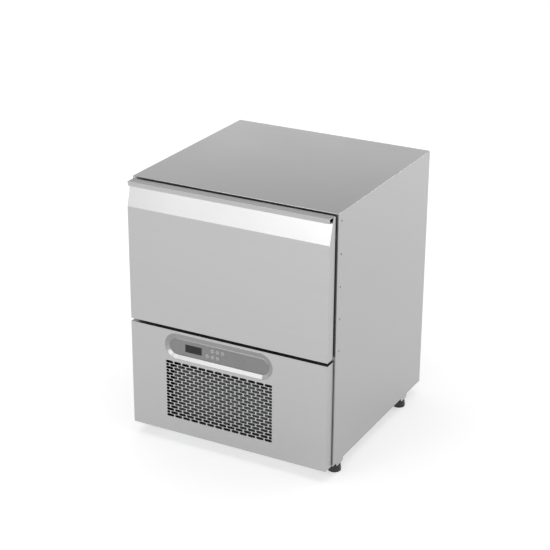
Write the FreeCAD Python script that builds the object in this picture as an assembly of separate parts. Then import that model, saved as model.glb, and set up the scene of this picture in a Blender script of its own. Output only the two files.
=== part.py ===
"""Refrigerated drawer cabinet in stainless steel, as an assembly of separate pieces.

Millimetres. +Z is up, the front faces -Y and +X is to the right of someone facing the front.
The origin is on the floor, under the middle of the cabinet.
"""
import FreeCAD, Part
import math
import os

V = FreeCAD.Vector
AXIS_X = V(1, 0, 0)
AXIS_Y = V(0, 1, 0)
AXIS_Z = V(0, 0, 1)
TOLERANCE = 1e-6

# Overall sizes
WIDTH = 600.0
DEPTH = 610.0
HEIGHT = 743.0
UNDER = 36.0
SHEET = 1.2
RUN_CLEARANCE = 0.3

# Carcass
STAND_OFF = 36.5
UPPER_RETURN = 8.0
LOWER_RETURN = 25.0
BOTTOM_FLANGE = 40.0
REAR_RECESS = 22.0
SIDE_WALL = 45.0
CEILING_WALL = 41.0
FLOOR_WALL = 45.0
REAR_WALL = 45.0
BREAKER_DEPTH = 6.0
DIVIDER_RISE = 1.0
DIVIDER_FLANGE = 25.0
PAN_UPTURN = 30.0

# Rivets down the front edge of each side panel
RIVET_COUNT = 5
RIVET_PITCH = 89.0
RIVET_FROM_TOP = 23.0
RIVET_FROM_FRONT = 19.0
RIVET_HEAD_RADIUS = 3.2
RIVET_TOP_RADIUS = 2.0
RIVET_HEAD_HEIGHT = 0.8
RIVET_SHANK_RADIUS = 1.6
RIVET_SIDES = 24

# Tabs of the side panels, beside the feet
TAB_LENGTH = 40.0
TAB_LEAD = 6.0
TAB_DROP = 11.0
TAB_CORNER = 8.0

# Levelling feet
FOOT_INSET = 18.0
FRONT_FOOT_SETBACK = 46.0
REAR_FOOT_SETBACK = 106.0
FOOT_BASE_RADIUS = 18.0
FOOT_TOP_RADIUS = 16.5
FOOT_RIM = 6.0
FOOT_PAD_HEIGHT = 19.0
FOOT_NUT_HEIGHT = 3.5
FOOT_NUT_RADIUS = 12.0
FOOT_STUD_RADIUS = 5.0
FOOT_STUD_PROUD = 12.0
FOOT_BUSH_WIDTH = 32.0
FOOT_BUSH_HEIGHT = 20.0
STUD_HOLE_CLEARANCE = 1.0

# Fronts
FRONT_INSET = 4.5
FRONT_GAP = 8.6
TOP_REVEAL = 3.7
LOWER_PANEL_HEIGHT = 305.2
LOWER_PANEL_RETURN = 34.0
PANEL_BRACKET_X = 170.0
PANEL_BRACKET_WIDTH = 40.0
PANEL_BRACKET_DROP = 22.0
PANEL_BRACKET_SHEET = 2.0
PANEL_BRACKET_REACH = 32.0

# Grille of staggered slots
GRILLE_X = -25.3
GRILLE_FROM_TOP = 95.2
GRILLE_ROWS = 19
GRILLE_COLUMNS = 13
SLOT_LENGTH = 22.2
SLOT_HEIGHT = 7.7
SLOT_PITCH_X = 25.2
SLOT_PITCH_Z = 8.96

# Control panel, a dished bezel let into the lower front panel
BEZEL_X = -26.0
BEZEL_FROM_TOP = 44.5
BEZEL_LENGTH = 328.0
BEZEL_HEIGHT = 75.3
BEZEL_RIM = 1.0
BEZEL_RECESS = 5.0
BEZEL_DEPTH = 10.0
SEAT_LENGTH = 305.0
SEAT_HEIGHT = 50.0
SEAT_DROP = 1.3
OVERLAY_MARGIN = 1.0
OVERLAY_PROUD = 1.0
OVERLAY_THICKNESS = 2.2
OVERLAY_SLOPE = 2.0
OVERLAY_SLOPE_DEPTH = 0.9
DISPLAY_X = -77.0
DISPLAY_WIDTH = 51.0
DISPLAY_HEIGHT = 22.5
DISPLAY_DEPTH = 4.0
KEY_NAMES = (("key_up", "key_light", "key_defrost"), ("key_down", "key_set", "key_power"))
KEY_X = -18.7
KEY_RISE = 0.8
KEY_PITCH_X = 15.7
KEY_PITCH_Z = 17.3
KEY_RADIUS = 5.4
KEY_PROUD = 1.0
KEY_TRAVEL = 0.8
KEY_STEM_RADIUS = 2.5
KEY_STEM_LENGTH = 0.8
BOARD_GAP = 3.4
BOARD_LENGTH = 190.0
BOARD_HEIGHT = 44.0
BOARD_X = -30.0
BOARD_THICKNESS = 1.6
BOARD_POST_RADIUS = 3.0
BOARD_POST_INSET = 6.0
SWITCH_WIDTH = 6.0
RELAY_SIZE = (19.0, 11.0, 15.0)
RELAY_COUNT = 4
RELAY_PITCH = 26.0

# Drawer front
DRAWER_FRONT_DEPTH = 29.0
GRIP_HEIGHT = 69.3
GRIP_BACKSET = 18.2
LIP_DROP = 13.4
LIP_LEAN = 3.0
LIP_INSET = 2.0
GASKET_INSET = 10.0
GASKET_WIDTH = 16.0
GASKET_FOOT = 2.0
GASKET_HEAD = 3.0
GASKET_WAIST = 3.0
PLUG_DEPTH = 10.0
PLUG_CLEARANCE = 6.0

# Drawer box and its telescopic runners
RUNNER_SPACE = 15.0
BOX_FLOOR_GAP = 20.0
BOX_HEADROOM = 53.6
BOX_REAR_GAP = 15.0
BOX_RIM = 8.0
BOX_SLOT_LENGTH = 60.0
BOX_SLOT_WIDTH = 8.0
BOX_SLOT_COLUMNS = 4
BOX_SLOT_ROWS = 7
BOX_SLOT_PITCH_X = 95.0
BOX_SLOT_PITCH_Y = 48.0
RUNNER_HEIGHT = 46.0
RUNNER_RISE = 120.0
RUNNER_SHEET = 1.5
RUNNER_PLAY = 0.4
RUNNER_TIP_GAP = 2.0
RUNNER_FRONT_GAP = 4.0

# Evaporator behind the drawer
EVAPORATOR_ZONE = 92.0
AIR_RETURN_GAP = 30.0
EVAPORATOR_END_GAP = 65.0
EVAPORATOR_MARGIN = 56.8
EVAPORATOR_DEPTH = 40.0
EVAPORATOR_WALL_GAP = 4.0
EVAPORATOR_ROWS = 8
EVAPORATOR_FAN_RADIUS = 60.0
EVAPORATOR_FAN_GAP = 2.0
EVAPORATOR_BLADE_DEPTH = 18.0
EVAPORATOR_MOTOR_RADIUS = 25.0
EVAPORATOR_MOTOR_LENGTH = 20.0
PROBE_X = 150.0
PROBE_FROM_CEILING = 30.0
PROBE_RADIUS = 3.0
PROBE_LENGTH = 40.0
PROBE_STAND = 6.0

# Condenser behind the grille
CONDENSER_X = -23.0
CONDENSER_LENGTH = 330.0
CONDENSER_HEIGHT = 158.0
CONDENSER_DEPTH = 55.0
CONDENSER_SETBACK = 7.0
CONDENSER_LIFT = 15.0
CONDENSER_ROWS = 6
COIL_PLATE = 2.0
COIL_TUBE_RADIUS = 4.0
SHROUD_DEPTH = 35.0
CONDENSER_FAN_RADIUS = 70.0
CONDENSER_BLADE_DEPTH = 24.0
CONDENSER_MOTOR_RADIUS = 36.0
CONDENSER_MOTOR_LENGTH = 50.0

# What both fans share
FAN_BLADES = 5
FAN_PITCH = 32.0
FAN_SHEET = 1.6
FAN_HUB_RADIUS = 18.0
FAN_ROOT_DEPTH = 3.6
FAN_CHORD_SHARE = 0.9
FAN_TIP_GAP = 4.0
FAN_SHAFT_RADIUS = 3.0
FAN_MOTOR_GAP = 3.0
FAN_LEGS = 4
FAN_LEG_RADIUS = 3.0
FAN_ARM_RADIUS = 2.2
FAN_ARM_ROOT = 6.0
FAN_LEG_OFFSET = 8.0

# Compressor and the refrigerant circuit
COMPRESSOR_FROM_REAR = 173.0
COMPRESSOR_RADIUS = 70.0
COMPRESSOR_HEIGHT = 180.0
COMPRESSOR_DOME = 34.0
COMPRESSOR_PLATE = 3.0
COMPRESSOR_PLATE_LENGTH = 190.0
COMPRESSOR_PLATE_WIDTH = 130.0
GROMMET_HEIGHT = 12.0
GROMMET_RADIUS = 11.0
GROMMET_INSET = 14.0
STUB_RADIUS = 7.0
STUB_LENGTH = 9.0
STUB_HEIGHT = 95.0
TERMINAL_BOX = (28.0, 60.0, 70.0)
TERMINAL_RISE = 60.0
TERMINAL_EMBED = 14.0
DRIER_FROM_FRONT = 207.0
DRIER_RADIUS = 10.0
DRIER_LENGTH = 100.0
DRIER_NECK = 5.0
DRIER_TIP_RADIUS = 5.6
DRIER_RISE = 45.0
PIPE_RADIUS = 4.0
SUCTION_RADIUS = 4.5
CAPILLARY_RADIUS = 3.0
PIPE_BEND = 14.0
PIPE_STRAIGHT = 3.0
RISER_CLEARANCE = 9.0
RISER_INSET = 12.0
RISER_SPACING = 23.0
CAPILLARY_DROP = 34.0

# Condensate drain
DRAIN_INSET = 105.0
DRAIN_FROM_REAR_WALL = 30.0
DRAIN_RADIUS = 10.0
DRAIN_WALL = 2.0
DRAIN_END_GAP = 30.0
TRAY_LENGTH = 200.0
TRAY_WIDTH = 170.0
TRAY_HEIGHT = 42.0
TRAY_WALL = 2.0

# Rear cover, its louvres, screws and the cable gland
LOUVRE_ROWS = 9
LOUVRE_COLUMNS = 2
LOUVRE_LENGTH = 150.0
LOUVRE_HEIGHT = 6.0
LOUVRE_PITCH_X = 190.0
LOUVRE_PITCH_Z = 20.0
LOUVRE_X = 70.0
LOUVRE_BOTTOM = 70.0
LOUVRE_REACH = 6.0
COVER_FLANGE = 14.0
SCREW_HEAD_RADIUS = 4.5
SCREW_HEAD_HEIGHT = 2.4
SCREW_HEAD_ROUND = 1.2
SCREW_EDGE = 14.0
GLAND_INSET = 90.0
GLAND_RISE = 70.0
GLAND_NUT_RADIUS = 14.0
GLAND_NUT_LENGTH = 5.0
GLAND_DOME_RADIUS = 11.0
GLAND_DOME_LENGTH = 10.0
GLAND_TIP_RADIUS = 7.7
GLAND_THREAD_RADIUS = 9.0
GLAND_THREAD_LENGTH = 8.0
GLAND_BORE_RADIUS = 4.5

# Planes and levels that follow from the sizes above
HALF = WIDTH / 2
INSIDE = HALF - SHEET
FRONT = -DEPTH / 2
REAR = DEPTH / 2
EDGE = FRONT + STAND_OFF
ROOF = HEIGHT - SHEET
COVER_Y = REAR - REAR_RECESS
FRONT_HALF = HALF - FRONT_INSET
PANEL_TOP = UNDER + LOWER_PANEL_HEIGHT
DRAWER_BOTTOM = PANEL_TOP + FRONT_GAP
DRAWER_TOP = HEIGHT - TOP_REVEAL
DRAWER_BACK = FRONT + DRAWER_FRONT_DEPTH
DIVIDER_Z = PANEL_TOP + DIVIDER_RISE
DIVIDER_TOP = DIVIDER_Z + SHEET
PAN_Z = UNDER + SHEET
PAN_TOP = PAN_Z + SHEET
LINER_HALF = HALF - SIDE_WALL
LINER_FLOOR = DIVIDER_TOP + FLOOR_WALL
LINER_CEILING = HEIGHT - CEILING_WALL
LINER_FRONT = EDGE + BREAKER_DEPTH
LINER_REAR = REAR - REAR_WALL
PLUG_BACK = DRAWER_BACK + PLUG_DEPTH
EVAPORATOR_FRONT = LINER_REAR - EVAPORATOR_ZONE
BOX_HALF = LINER_HALF - RUNNER_SPACE
BOX_FLOOR = LINER_FLOOR + BOX_FLOOR_GAP
BOX_TOP = LINER_CEILING - BOX_HEADROOM
BOX_REAR = EVAPORATOR_FRONT - BOX_REAR_GAP
RUNNER_Z = BOX_FLOOR + RUNNER_RISE
RUNNER_FRONT = LINER_FRONT + RUNNER_FRONT_GAP
BEZEL_Z = PANEL_TOP - BEZEL_FROM_TOP
SEAT_Z = BEZEL_Z - SEAT_DROP
SEAT_Y = FRONT + BEZEL_RECESS
OVERLAY_Y = SEAT_Y - OVERLAY_PROUD
OVERLAY_LENGTH = SEAT_LENGTH - 2 * OVERLAY_MARGIN
OVERLAY_HEIGHT = SEAT_HEIGHT - 2 * OVERLAY_MARGIN
BEZEL_FLOOR = OVERLAY_Y + OVERLAY_THICKNESS
BEZEL_BACK = FRONT + BEZEL_DEPTH
BOARD_Y = BEZEL_BACK + BOARD_GAP
CONDENSER_Y = EDGE + CONDENSER_SETBACK
CONDENSER_BACK = CONDENSER_Y + CONDENSER_DEPTH
CONDENSER_Z = PAN_TOP + CONDENSER_LIFT
CONDENSER_MID = CONDENSER_Z + CONDENSER_HEIGHT / 2
SHROUD_BACK = CONDENSER_BACK + SHROUD_DEPTH
STUD_TOP = PAN_TOP + FOOT_BUSH_HEIGHT + FOOT_STUD_PROUD
CHAMBER_MID = (LINER_FLOOR + LINER_CEILING) / 2
GLAND_X = GLAND_INSET - HALF
GLAND_Z = PAN_TOP + GLAND_RISE
EVAPORATOR_Y = LINER_REAR - EVAPORATOR_WALL_GAP - EVAPORATOR_DEPTH
COMPRESSOR_Y = COVER_Y - COMPRESSOR_FROM_REAR
COMPRESSOR_Z = PAN_TOP + GROMMET_HEIGHT
STUB_Z = COMPRESSOR_Z + COMPRESSOR_PLATE + STUB_HEIGHT
RISER_Y = LINER_REAR + SHEET + RISER_CLEARANCE
CAPILLARY_X = LINER_HALF - RISER_INSET
SUCTION_X = CAPILLARY_X - RISER_SPACING
COMPRESSOR_X = SUCTION_X - 2 * PIPE_BEND - PIPE_STRAIGHT - STUB_LENGTH - COMPRESSOR_RADIUS
EVAPORATOR_LENGTH = 2 * (LINER_HALF - EVAPORATOR_END_GAP)
EVAPORATOR_HEIGHT = LINER_CEILING - LINER_FLOOR - 2 * EVAPORATOR_MARGIN
DRAIN_X = DRAIN_INSET - LINER_HALF
DRAIN_Y = LINER_REAR - DRAIN_FROM_REAR_WALL
TRAY_REAR = COVER_Y - SHEET - COVER_FLANGE


def box(x0, x1, y0, y1, z0, z1):
    """Return the box between two corners."""
    return Part.makeBox(x1 - x0, y1 - y0, z1 - z0, V(x0, y0, z0))


def rod(radius, start, axis, length):
    """Return a cylinder that starts at a point and runs along an axis."""
    return Part.makeCylinder(radius, length, start, axis)


def join(shapes):
    """Fuse shapes into one solid without seams between flush faces."""
    first, rest = shapes[0], shapes[1:]
    return first.fuse(rest).removeSplitter() if rest else first


def mirrored(shape):
    """Return the shape on the other side of the cabinet's middle plane."""
    return shape.mirror(V(0, 0, 0), AXIS_X)


def prism_x(points, x0, x1):
    """Extrude an outline of (y, z) points from x0 to x1."""
    corners = [V(x0, y, z) for y, z in points]
    face = Part.Face(Part.makePolygon(corners + corners[:1]))
    return face.extrude(V(x1 - x0, 0, 0))


def stadium_wire(x, y, z, length, height):
    """Return a stadium outline in a plane of constant y."""
    radius = height / 2
    reach = length / 2 - radius
    top_left, top_right = V(x - reach, y, z + radius), V(x + reach, y, z + radius)
    low_left, low_right = V(x - reach, y, z - radius), V(x + reach, y, z - radius)
    right_end = Part.Arc(top_right, V(x + length / 2, y, z), low_right)
    left_end = Part.Arc(low_left, V(x - length / 2, y, z), top_left)
    top, bottom = Part.LineSegment(top_left, top_right), Part.LineSegment(low_right, low_left)
    return Part.Wire([top.toShape(), right_end.toShape(), bottom.toShape(), left_end.toShape()])


def stadium(x, y0, y1, z, length, height):
    """Return a stadium-shaped block from y0 to y1."""
    return Part.Face(stadium_wire(x, y0, z, length, height)).extrude(V(0, y1 - y0, 0))


def tube_along(points, radius, bend=PIPE_BEND):
    """Sweep a round section along straight runs joined by tangent arcs."""
    edges = []
    start = points[0]
    for before, corner, after in zip(points, points[1:], points[2:]):
        into = (corner - before).normalize()
        out = (after - corner).normalize()
        entry, leave = corner - into * bend, corner + out * bend
        centre = corner + (out - into) * bend
        middle = centre + (corner - centre).normalize() * bend
        edges.append(Part.LineSegment(start, entry).toShape())
        edges.append(Part.Arc(entry, middle, leave).toShape())
        start = leave
    edges.append(Part.LineSegment(start, points[-1]).toShape())
    section = Part.Wire(Part.makeCircle(radius, points[0], points[1] - points[0]))
    return Part.Wire(edges).makePipeShell([section], True, False)


def foot_places():
    """Return each foot's name and its place on the floor."""
    rows = (("front", EDGE + FRONT_FOOT_SETBACK), ("rear", REAR - REAR_FOOT_SETBACK))
    sides = (("left", FOOT_INSET - HALF), ("right", HALF - FOOT_INSET))
    return [(f"{row}_{side}", x, y) for row, y in rows for side, x in sides]


def flange_holes():
    """Return the clearance holes for the foot studs in the bottom flanges."""
    radius = FOOT_STUD_RADIUS + STUD_HOLE_CLEARANCE
    return [rod(radius, V(x, y, UNDER), AXIS_Z, SHEET) for _, x, y in foot_places()]


def rivet_places():
    """Return the places of the rivets on the right side panel, in y and z."""
    first = HEIGHT - RIVET_FROM_TOP
    return [(EDGE + RIVET_FROM_FRONT, first - i * RIVET_PITCH) for i in range(RIVET_COUNT)]


def top_panel():
    """Flat top with a short flange down its front edge."""
    plate = box(-HALF, HALF, EDGE, REAR, ROOF, HEIGHT)
    inner = HALF - UPPER_RETURN
    flange = box(-inner, inner, EDGE, EDGE + SHEET, HEIGHT - UPPER_RETURN, ROOF)
    return join([plate, flange])


def right_side_panel():
    """Side sheet with a front return, a bottom flange and a tab beside each foot."""
    skin = box(INSIDE, HALF, EDGE, REAR, UNDER, ROOF)
    low_return = box(HALF - LOWER_RETURN, INSIDE, EDGE, EDGE + SHEET, UNDER, DIVIDER_TOP)
    high_return = box(HALF - UPPER_RETURN, INSIDE, EDGE, EDGE + SHEET, DIVIDER_TOP, ROOF)
    flange = box(HALF - BOTTOM_FLANGE, INSIDE, EDGE + SHEET, REAR, UNDER, PAN_Z)
    tabs = [side_tab(y - TAB_LEAD) for name, x, y in foot_places() if x > 0]
    panel = join([skin, low_return, high_return, flange] + tabs)
    shank = RIVET_SHANK_RADIUS
    holes = [rod(shank, V(INSIDE, y, z), AXIS_X, SHEET) for y, z in rivet_places()]
    return panel.cut(holes + flange_holes())


def side_tab(y):
    """Tab that hangs from the side sheet in front of a foot, with round lower corners."""
    tab = box(INSIDE, HALF, y - TAB_LENGTH / 2, y + TAB_LENGTH / 2, UNDER - TAB_DROP, UNDER)
    low = [e for e in tab.Edges if is_along(e, AXIS_X) and e.CenterOfMass.z < UNDER - TAB_DROP / 2]
    return tab.makeFillet(min(TAB_CORNER, TAB_DROP - SHEET), low)


def is_along(edge, axis):
    """Tell whether a straight edge runs along an axis."""
    start, end = edge.Vertexes[0].Point, edge.Vertexes[-1].Point
    return (end - start).normalize().cross(axis).Length < TOLERANCE


def side_rivets():
    """Low, many-sided rivets, one group for both side panels."""
    rivets = []
    for y, z in rivet_places():
        rim = many_sided(V(HALF, y, z), RIVET_HEAD_RADIUS)
        top = many_sided(V(HALF + RIVET_HEAD_HEIGHT, y, z), RIVET_TOP_RADIUS)
        head = Part.makeLoft([rim, top], True, True)
        shank = Part.Face(many_sided(V(INSIDE, y, z), RIVET_SHANK_RADIUS)).extrude(AXIS_X * SHEET)
        rivet = join([head, shank])
        rivets += [rivet, mirrored(rivet)]
    return Part.Compound(rivets)


def many_sided(place, radius):
    """Return the outline of a rivet around a place, in a plane of constant x."""
    angles = [2 * math.pi * i / RIVET_SIDES for i in range(RIVET_SIDES + 1)]
    return Part.makePolygon([place + V(0, radius * math.cos(a), radius * math.sin(a)) for a in angles])


def rear_panel():
    """Sheet behind the insulated part."""
    return box(-INSIDE, INSIDE, REAR - SHEET, REAR, DIVIDER_Z, ROOF)


def louvre_places():
    """Return the middle of each louvre, in x and z."""
    first_x = LOUVRE_X - LOUVRE_PITCH_X * (LOUVRE_COLUMNS - 1) / 2
    columns = [first_x + i * LOUVRE_PITCH_X for i in range(LOUVRE_COLUMNS)]
    rows = [PAN_TOP + LOUVRE_BOTTOM + i * LOUVRE_PITCH_Z for i in range(LOUVRE_ROWS)]
    return [(x, z) for x in columns for z in rows]


def rear_cover():
    """Recessed service cover of the machine space, with louvres and side flanges."""
    front = COVER_Y - SHEET
    plate = box(-INSIDE, INSIDE, front, COVER_Y, PAN_TOP, DIVIDER_Z)
    side = box(INSIDE - SHEET, INSIDE, front - COVER_FLANGE, front, PAN_TOP, DIVIDER_Z)
    pieces = [plate, side, mirrored(side)]
    slots = []
    for x, z in louvre_places():
        x0, x1 = x - LOUVRE_LENGTH / 2, x + LOUVRE_LENGTH / 2
        top = z + LOUVRE_HEIGHT / 2
        tip = COVER_Y + LOUVRE_REACH
        blade = [(COVER_Y, top), (COVER_Y, top + SHEET), (tip, z - SHEET), (tip, z - 2 * SHEET)]
        pieces.append(prism_x(blade, x0, x1))
        slots.append(box(x0, x1, front, COVER_Y, z - LOUVRE_HEIGHT / 2, top))
    gland_hole = rod(GLAND_THREAD_RADIUS, V(GLAND_X, front, GLAND_Z), AXIS_Y, SHEET)
    return join(pieces).cut(slots + [gland_hole])


def cable_gland():
    """Gland for the supply cable, through the rear cover."""
    def at(y):
        return V(GLAND_X, y, GLAND_Z)

    inner_face = COVER_Y - SHEET
    nut_end = COVER_Y + GLAND_NUT_LENGTH
    nut = hexagon(at(COVER_Y), AXIS_Y, GLAND_NUT_RADIUS, GLAND_NUT_LENGTH)
    lock_start = at(inner_face - GLAND_NUT_LENGTH)
    lock_nut = hexagon(lock_start, AXIS_Y, GLAND_NUT_RADIUS, GLAND_NUT_LENGTH)
    dome = Part.makeCone(GLAND_DOME_RADIUS, GLAND_TIP_RADIUS, GLAND_DOME_LENGTH, at(nut_end),
                         AXIS_Y)
    thread_start = inner_face - GLAND_THREAD_LENGTH
    thread = rod(GLAND_THREAD_RADIUS, at(thread_start), AXIS_Y, COVER_Y - thread_start)
    end = nut_end + GLAND_DOME_LENGTH
    bore = rod(GLAND_BORE_RADIUS, at(thread_start), AXIS_Y, end - thread_start)
    return join([thread, nut, lock_nut, dome]).cut(bore)


def hexagon(place, axis, radius, length):
    """Hexagonal block that starts at a place and runs along +Y or +Z; radius is to its corners."""
    up = axis.cross(AXIS_X)
    angles = [math.radians(60 * i) for i in range(7)]
    corners = [place + AXIS_X * (radius * math.cos(a)) + up * (radius * math.sin(a)) for a in angles]
    return Part.Face(Part.makePolygon(corners)).extrude(axis * length)


def compartment_ceiling():
    """Sheet between the machine space and the insulation, with a flange down its front."""
    sheet = box(-INSIDE, INSIDE, EDGE + SHEET, REAR - SHEET, DIVIDER_Z, DIVIDER_TOP)
    inner = HALF - LOWER_RETURN
    flange = box(-inner, inner, EDGE, EDGE + SHEET, DIVIDER_TOP - DIVIDER_FLANGE, DIVIDER_TOP)
    return join([sheet, flange])


def base_pan():
    """Floor of the machine space, on the side panels' flanges, with welded bushes for the feet."""
    floor = box(-INSIDE, INSIDE, EDGE + SHEET, COVER_Y, PAN_Z, PAN_TOP)
    inner = HALF - LOWER_RETURN
    upturn = box(-inner, inner, EDGE, EDGE + SHEET, PAN_Z, PAN_Z + PAN_UPTURN)
    half = FOOT_BUSH_WIDTH / 2
    top = PAN_TOP + FOOT_BUSH_HEIGHT
    bore = FOOT_STUD_RADIUS + RUN_CLEARANCE
    places = foot_places()
    bushes = [box(x - half, x + half, y - half, y + half, PAN_TOP, top) for _, x, y in places]
    bores = [rod(bore, V(x, y, PAN_Z), AXIS_Z, top - PAN_Z) for _, x, y in places]
    return join([floor, upturn] + bushes).cut(bores)


def levelling_foot(x, y):
    """Black foot: a rimmed, tapered pad, a nut and the stud that screws into its bush."""
    rim = rod(FOOT_BASE_RADIUS, V(x, y, 0), AXIS_Z, FOOT_RIM)
    taper = FOOT_PAD_HEIGHT - FOOT_RIM
    pad = Part.makeCone(FOOT_BASE_RADIUS, FOOT_TOP_RADIUS, taper, V(x, y, FOOT_RIM), AXIS_Z)
    pad_top = V(x, y, FOOT_PAD_HEIGHT)
    nut = hexagon(pad_top, AXIS_Z, FOOT_NUT_RADIUS, FOOT_NUT_HEIGHT)
    stud = rod(FOOT_STUD_RADIUS, pad_top, AXIS_Z, STUD_TOP - FOOT_PAD_HEIGHT)
    return join([rim, pad, nut, stud])


def cold_liner(pipes):
    """Inner box of the cold space, open to the front, with holes for the pipes."""
    outer = liner_block()
    inner = box(-LINER_HALF, LINER_HALF, LINER_FRONT, LINER_REAR, LINER_FLOOR, LINER_CEILING)
    return outer.cut([inner] + pipes)


def liner_block():
    """Outside of the cold liner, as one block."""
    half = LINER_HALF + SHEET
    return box(-half, half, LINER_FRONT, LINER_REAR + SHEET, LINER_FLOOR - SHEET,
               LINER_CEILING + SHEET)


def cabinet_foam(pipes):
    """Insulation between the outer panels and the cold liner."""
    block = box(-INSIDE, INSIDE, LINER_FRONT, REAR - SHEET, DIVIDER_TOP, ROOF)
    return block.cut([liner_block()] + pipes)


def breaker_frame():
    """Plastic frame round the mouth of the cold space."""
    outer = HALF - UPPER_RETURN
    ring = box(-outer, outer, EDGE, LINER_FRONT, DIVIDER_TOP, HEIGHT - UPPER_RETURN)
    mouth = box(-LINER_HALF, LINER_HALF, EDGE, LINER_FRONT, LINER_FLOOR, LINER_CEILING)
    return ring.cut(mouth)


def slot_wires():
    """Return the outlines of the grille: full rows, and shifted rows with short end slots."""
    wires = []
    span = (GRILLE_COLUMNS - 1) * SLOT_PITCH_X
    web = SLOT_PITCH_X - SLOT_LENGTH
    end_length = SLOT_PITCH_X / 2 - web
    edge = (span + SLOT_LENGTH) / 2
    for row in range(GRILLE_ROWS):
        z = PANEL_TOP - GRILLE_FROM_TOP - row * SLOT_PITCH_Z
        shifted = row % 2
        count = GRILLE_COLUMNS - shifted
        first = GRILLE_X - span / 2 + shifted * SLOT_PITCH_X / 2
        for column in range(count):
            x = first + column * SLOT_PITCH_X
            wires.append(stadium_wire(x, FRONT, z, SLOT_LENGTH, SLOT_HEIGHT))
        if shifted:
            for side in (-1, 1):
                x = GRILLE_X + side * (edge - end_length / 2)
                wires.append(stadium_wire(x, FRONT, z, end_length, SLOT_HEIGHT))
    return wires


def rectangle_wire(x0, x1, y, z0, z1):
    """Return a rectangle in a plane of constant y."""
    corners = [V(x0, y, z0), V(x1, y, z0), V(x1, y, z1), V(x0, y, z1), V(x0, y, z0)]
    return Part.makePolygon(corners)


def lower_front_panel():
    """Front of the machine space: a pan with the grille and the opening for the controls."""
    outline = rectangle_wire(-FRONT_HALF, FRONT_HALF, FRONT, UNDER, PANEL_TOP)
    opening = stadium_wire(BEZEL_X, FRONT, BEZEL_Z, BEZEL_LENGTH, BEZEL_HEIGHT)
    wires = [outline, opening] + slot_wires()
    face = Part.makeFace(Part.Compound(wires), "Part::FaceMakerBullseye")
    plate = face.extrude(V(0, SHEET, 0))
    back = FRONT + LOWER_PANEL_RETURN
    start = FRONT + SHEET
    side = box(FRONT_HALF - SHEET, FRONT_HALF, start, back, UNDER, PANEL_TOP)
    top = box(SHEET - FRONT_HALF, FRONT_HALF - SHEET, start, back, PANEL_TOP - SHEET, PANEL_TOP)
    bottom = box(SHEET - FRONT_HALF, FRONT_HALF - SHEET, start, back, UNDER, UNDER + SHEET)
    return join([plate, side, mirrored(side), top, bottom])


def panel_brackets():
    """Angles that hold the lower front panel on the ceiling flange and the base pan."""
    sheet = PANEL_BRACKET_SHEET
    x0 = PANEL_BRACKET_X - PANEL_BRACKET_WIDTH / 2
    x1 = PANEL_BRACKET_X + PANEL_BRACKET_WIDTH / 2
    start = EDGE - PANEL_BRACKET_REACH
    high = PANEL_TOP - SHEET
    low = UNDER + SHEET
    upper = join([box(x0, x1, start, EDGE, high - sheet, high),
                  box(x0, x1, EDGE - sheet, EDGE, high - PANEL_BRACKET_DROP, high)])
    lower = join([box(x0, x1, start, EDGE, low, low + sheet),
                  box(x0, x1, EDGE - sheet, EDGE, low, low + PANEL_BRACKET_DROP)])
    return Part.Compound([upper, mirrored(upper), lower, mirrored(lower)])


def key_places():
    """Return each key's name and its place on the overlay."""
    places = []
    for row, names in enumerate(KEY_NAMES):
        z = SEAT_Z + KEY_RISE + (0.5 - row) * KEY_PITCH_Z
        for column, name in enumerate(names):
            places.append((name, BEZEL_X + KEY_X + (column - row) * KEY_PITCH_X, z))
    return places


def key_bores(y0, y1):
    """Return the openings for the keys between two planes."""
    radius = KEY_RADIUS + RUN_CLEARANCE
    return [rod(radius, V(x, y0, z), AXIS_Y, y1 - y0) for _, x, z in key_places()]


def display_block(y0, y1):
    """Return the display window's outline as a block between two planes."""
    x = BEZEL_X + DISPLAY_X
    half_x, half_z = DISPLAY_WIDTH / 2, DISPLAY_HEIGHT / 2
    return box(x - half_x, x + half_x, y0, y1, SEAT_Z - half_z, SEAT_Z + half_z)


def board_posts():
    """Return the places of the posts that carry the controller board, in x and z."""
    half_x = BOARD_LENGTH / 2 - BOARD_POST_INSET
    half_z = BOARD_HEIGHT / 2 - BOARD_POST_INSET
    x = BEZEL_X + BOARD_X
    return [(x + i * half_x, SEAT_Z + j * half_z) for i in (-1, 1) for j in (-1, 1)]


def control_bezel():
    """Dished frame, and behind it the tray that holds the overlay and the posts for the board."""
    frame = stadium(BEZEL_X, FRONT, SEAT_Y, BEZEL_Z, BEZEL_LENGTH, BEZEL_HEIGHT)
    tray = stadium(BEZEL_X, SEAT_Y, BEZEL_BACK, BEZEL_Z, BEZEL_LENGTH, BEZEL_HEIGHT)
    rim = 2 * BEZEL_RIM
    mouth = stadium_wire(BEZEL_X, FRONT, BEZEL_Z, BEZEL_LENGTH - rim, BEZEL_HEIGHT - rim)
    seat = stadium_wire(BEZEL_X, SEAT_Y, SEAT_Z, SEAT_LENGTH, SEAT_HEIGHT)
    dish = Part.makeLoft([mouth, seat], True, True)
    pocket = stadium(BEZEL_X, SEAT_Y, BEZEL_FLOOR, SEAT_Z, OVERLAY_LENGTH, OVERLAY_HEIGHT)
    window = display_block(BEZEL_FLOOR, BEZEL_BACK)
    posts = [rod(BOARD_POST_RADIUS, V(x, BEZEL_BACK, z), AXIS_Y, BOARD_GAP)
             for x, z in board_posts()]
    tray = tray.cut([pocket, window] + key_bores(BEZEL_FLOOR, BEZEL_BACK))
    return Part.Compound([frame.cut(dish), join([tray] + posts)])


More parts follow.
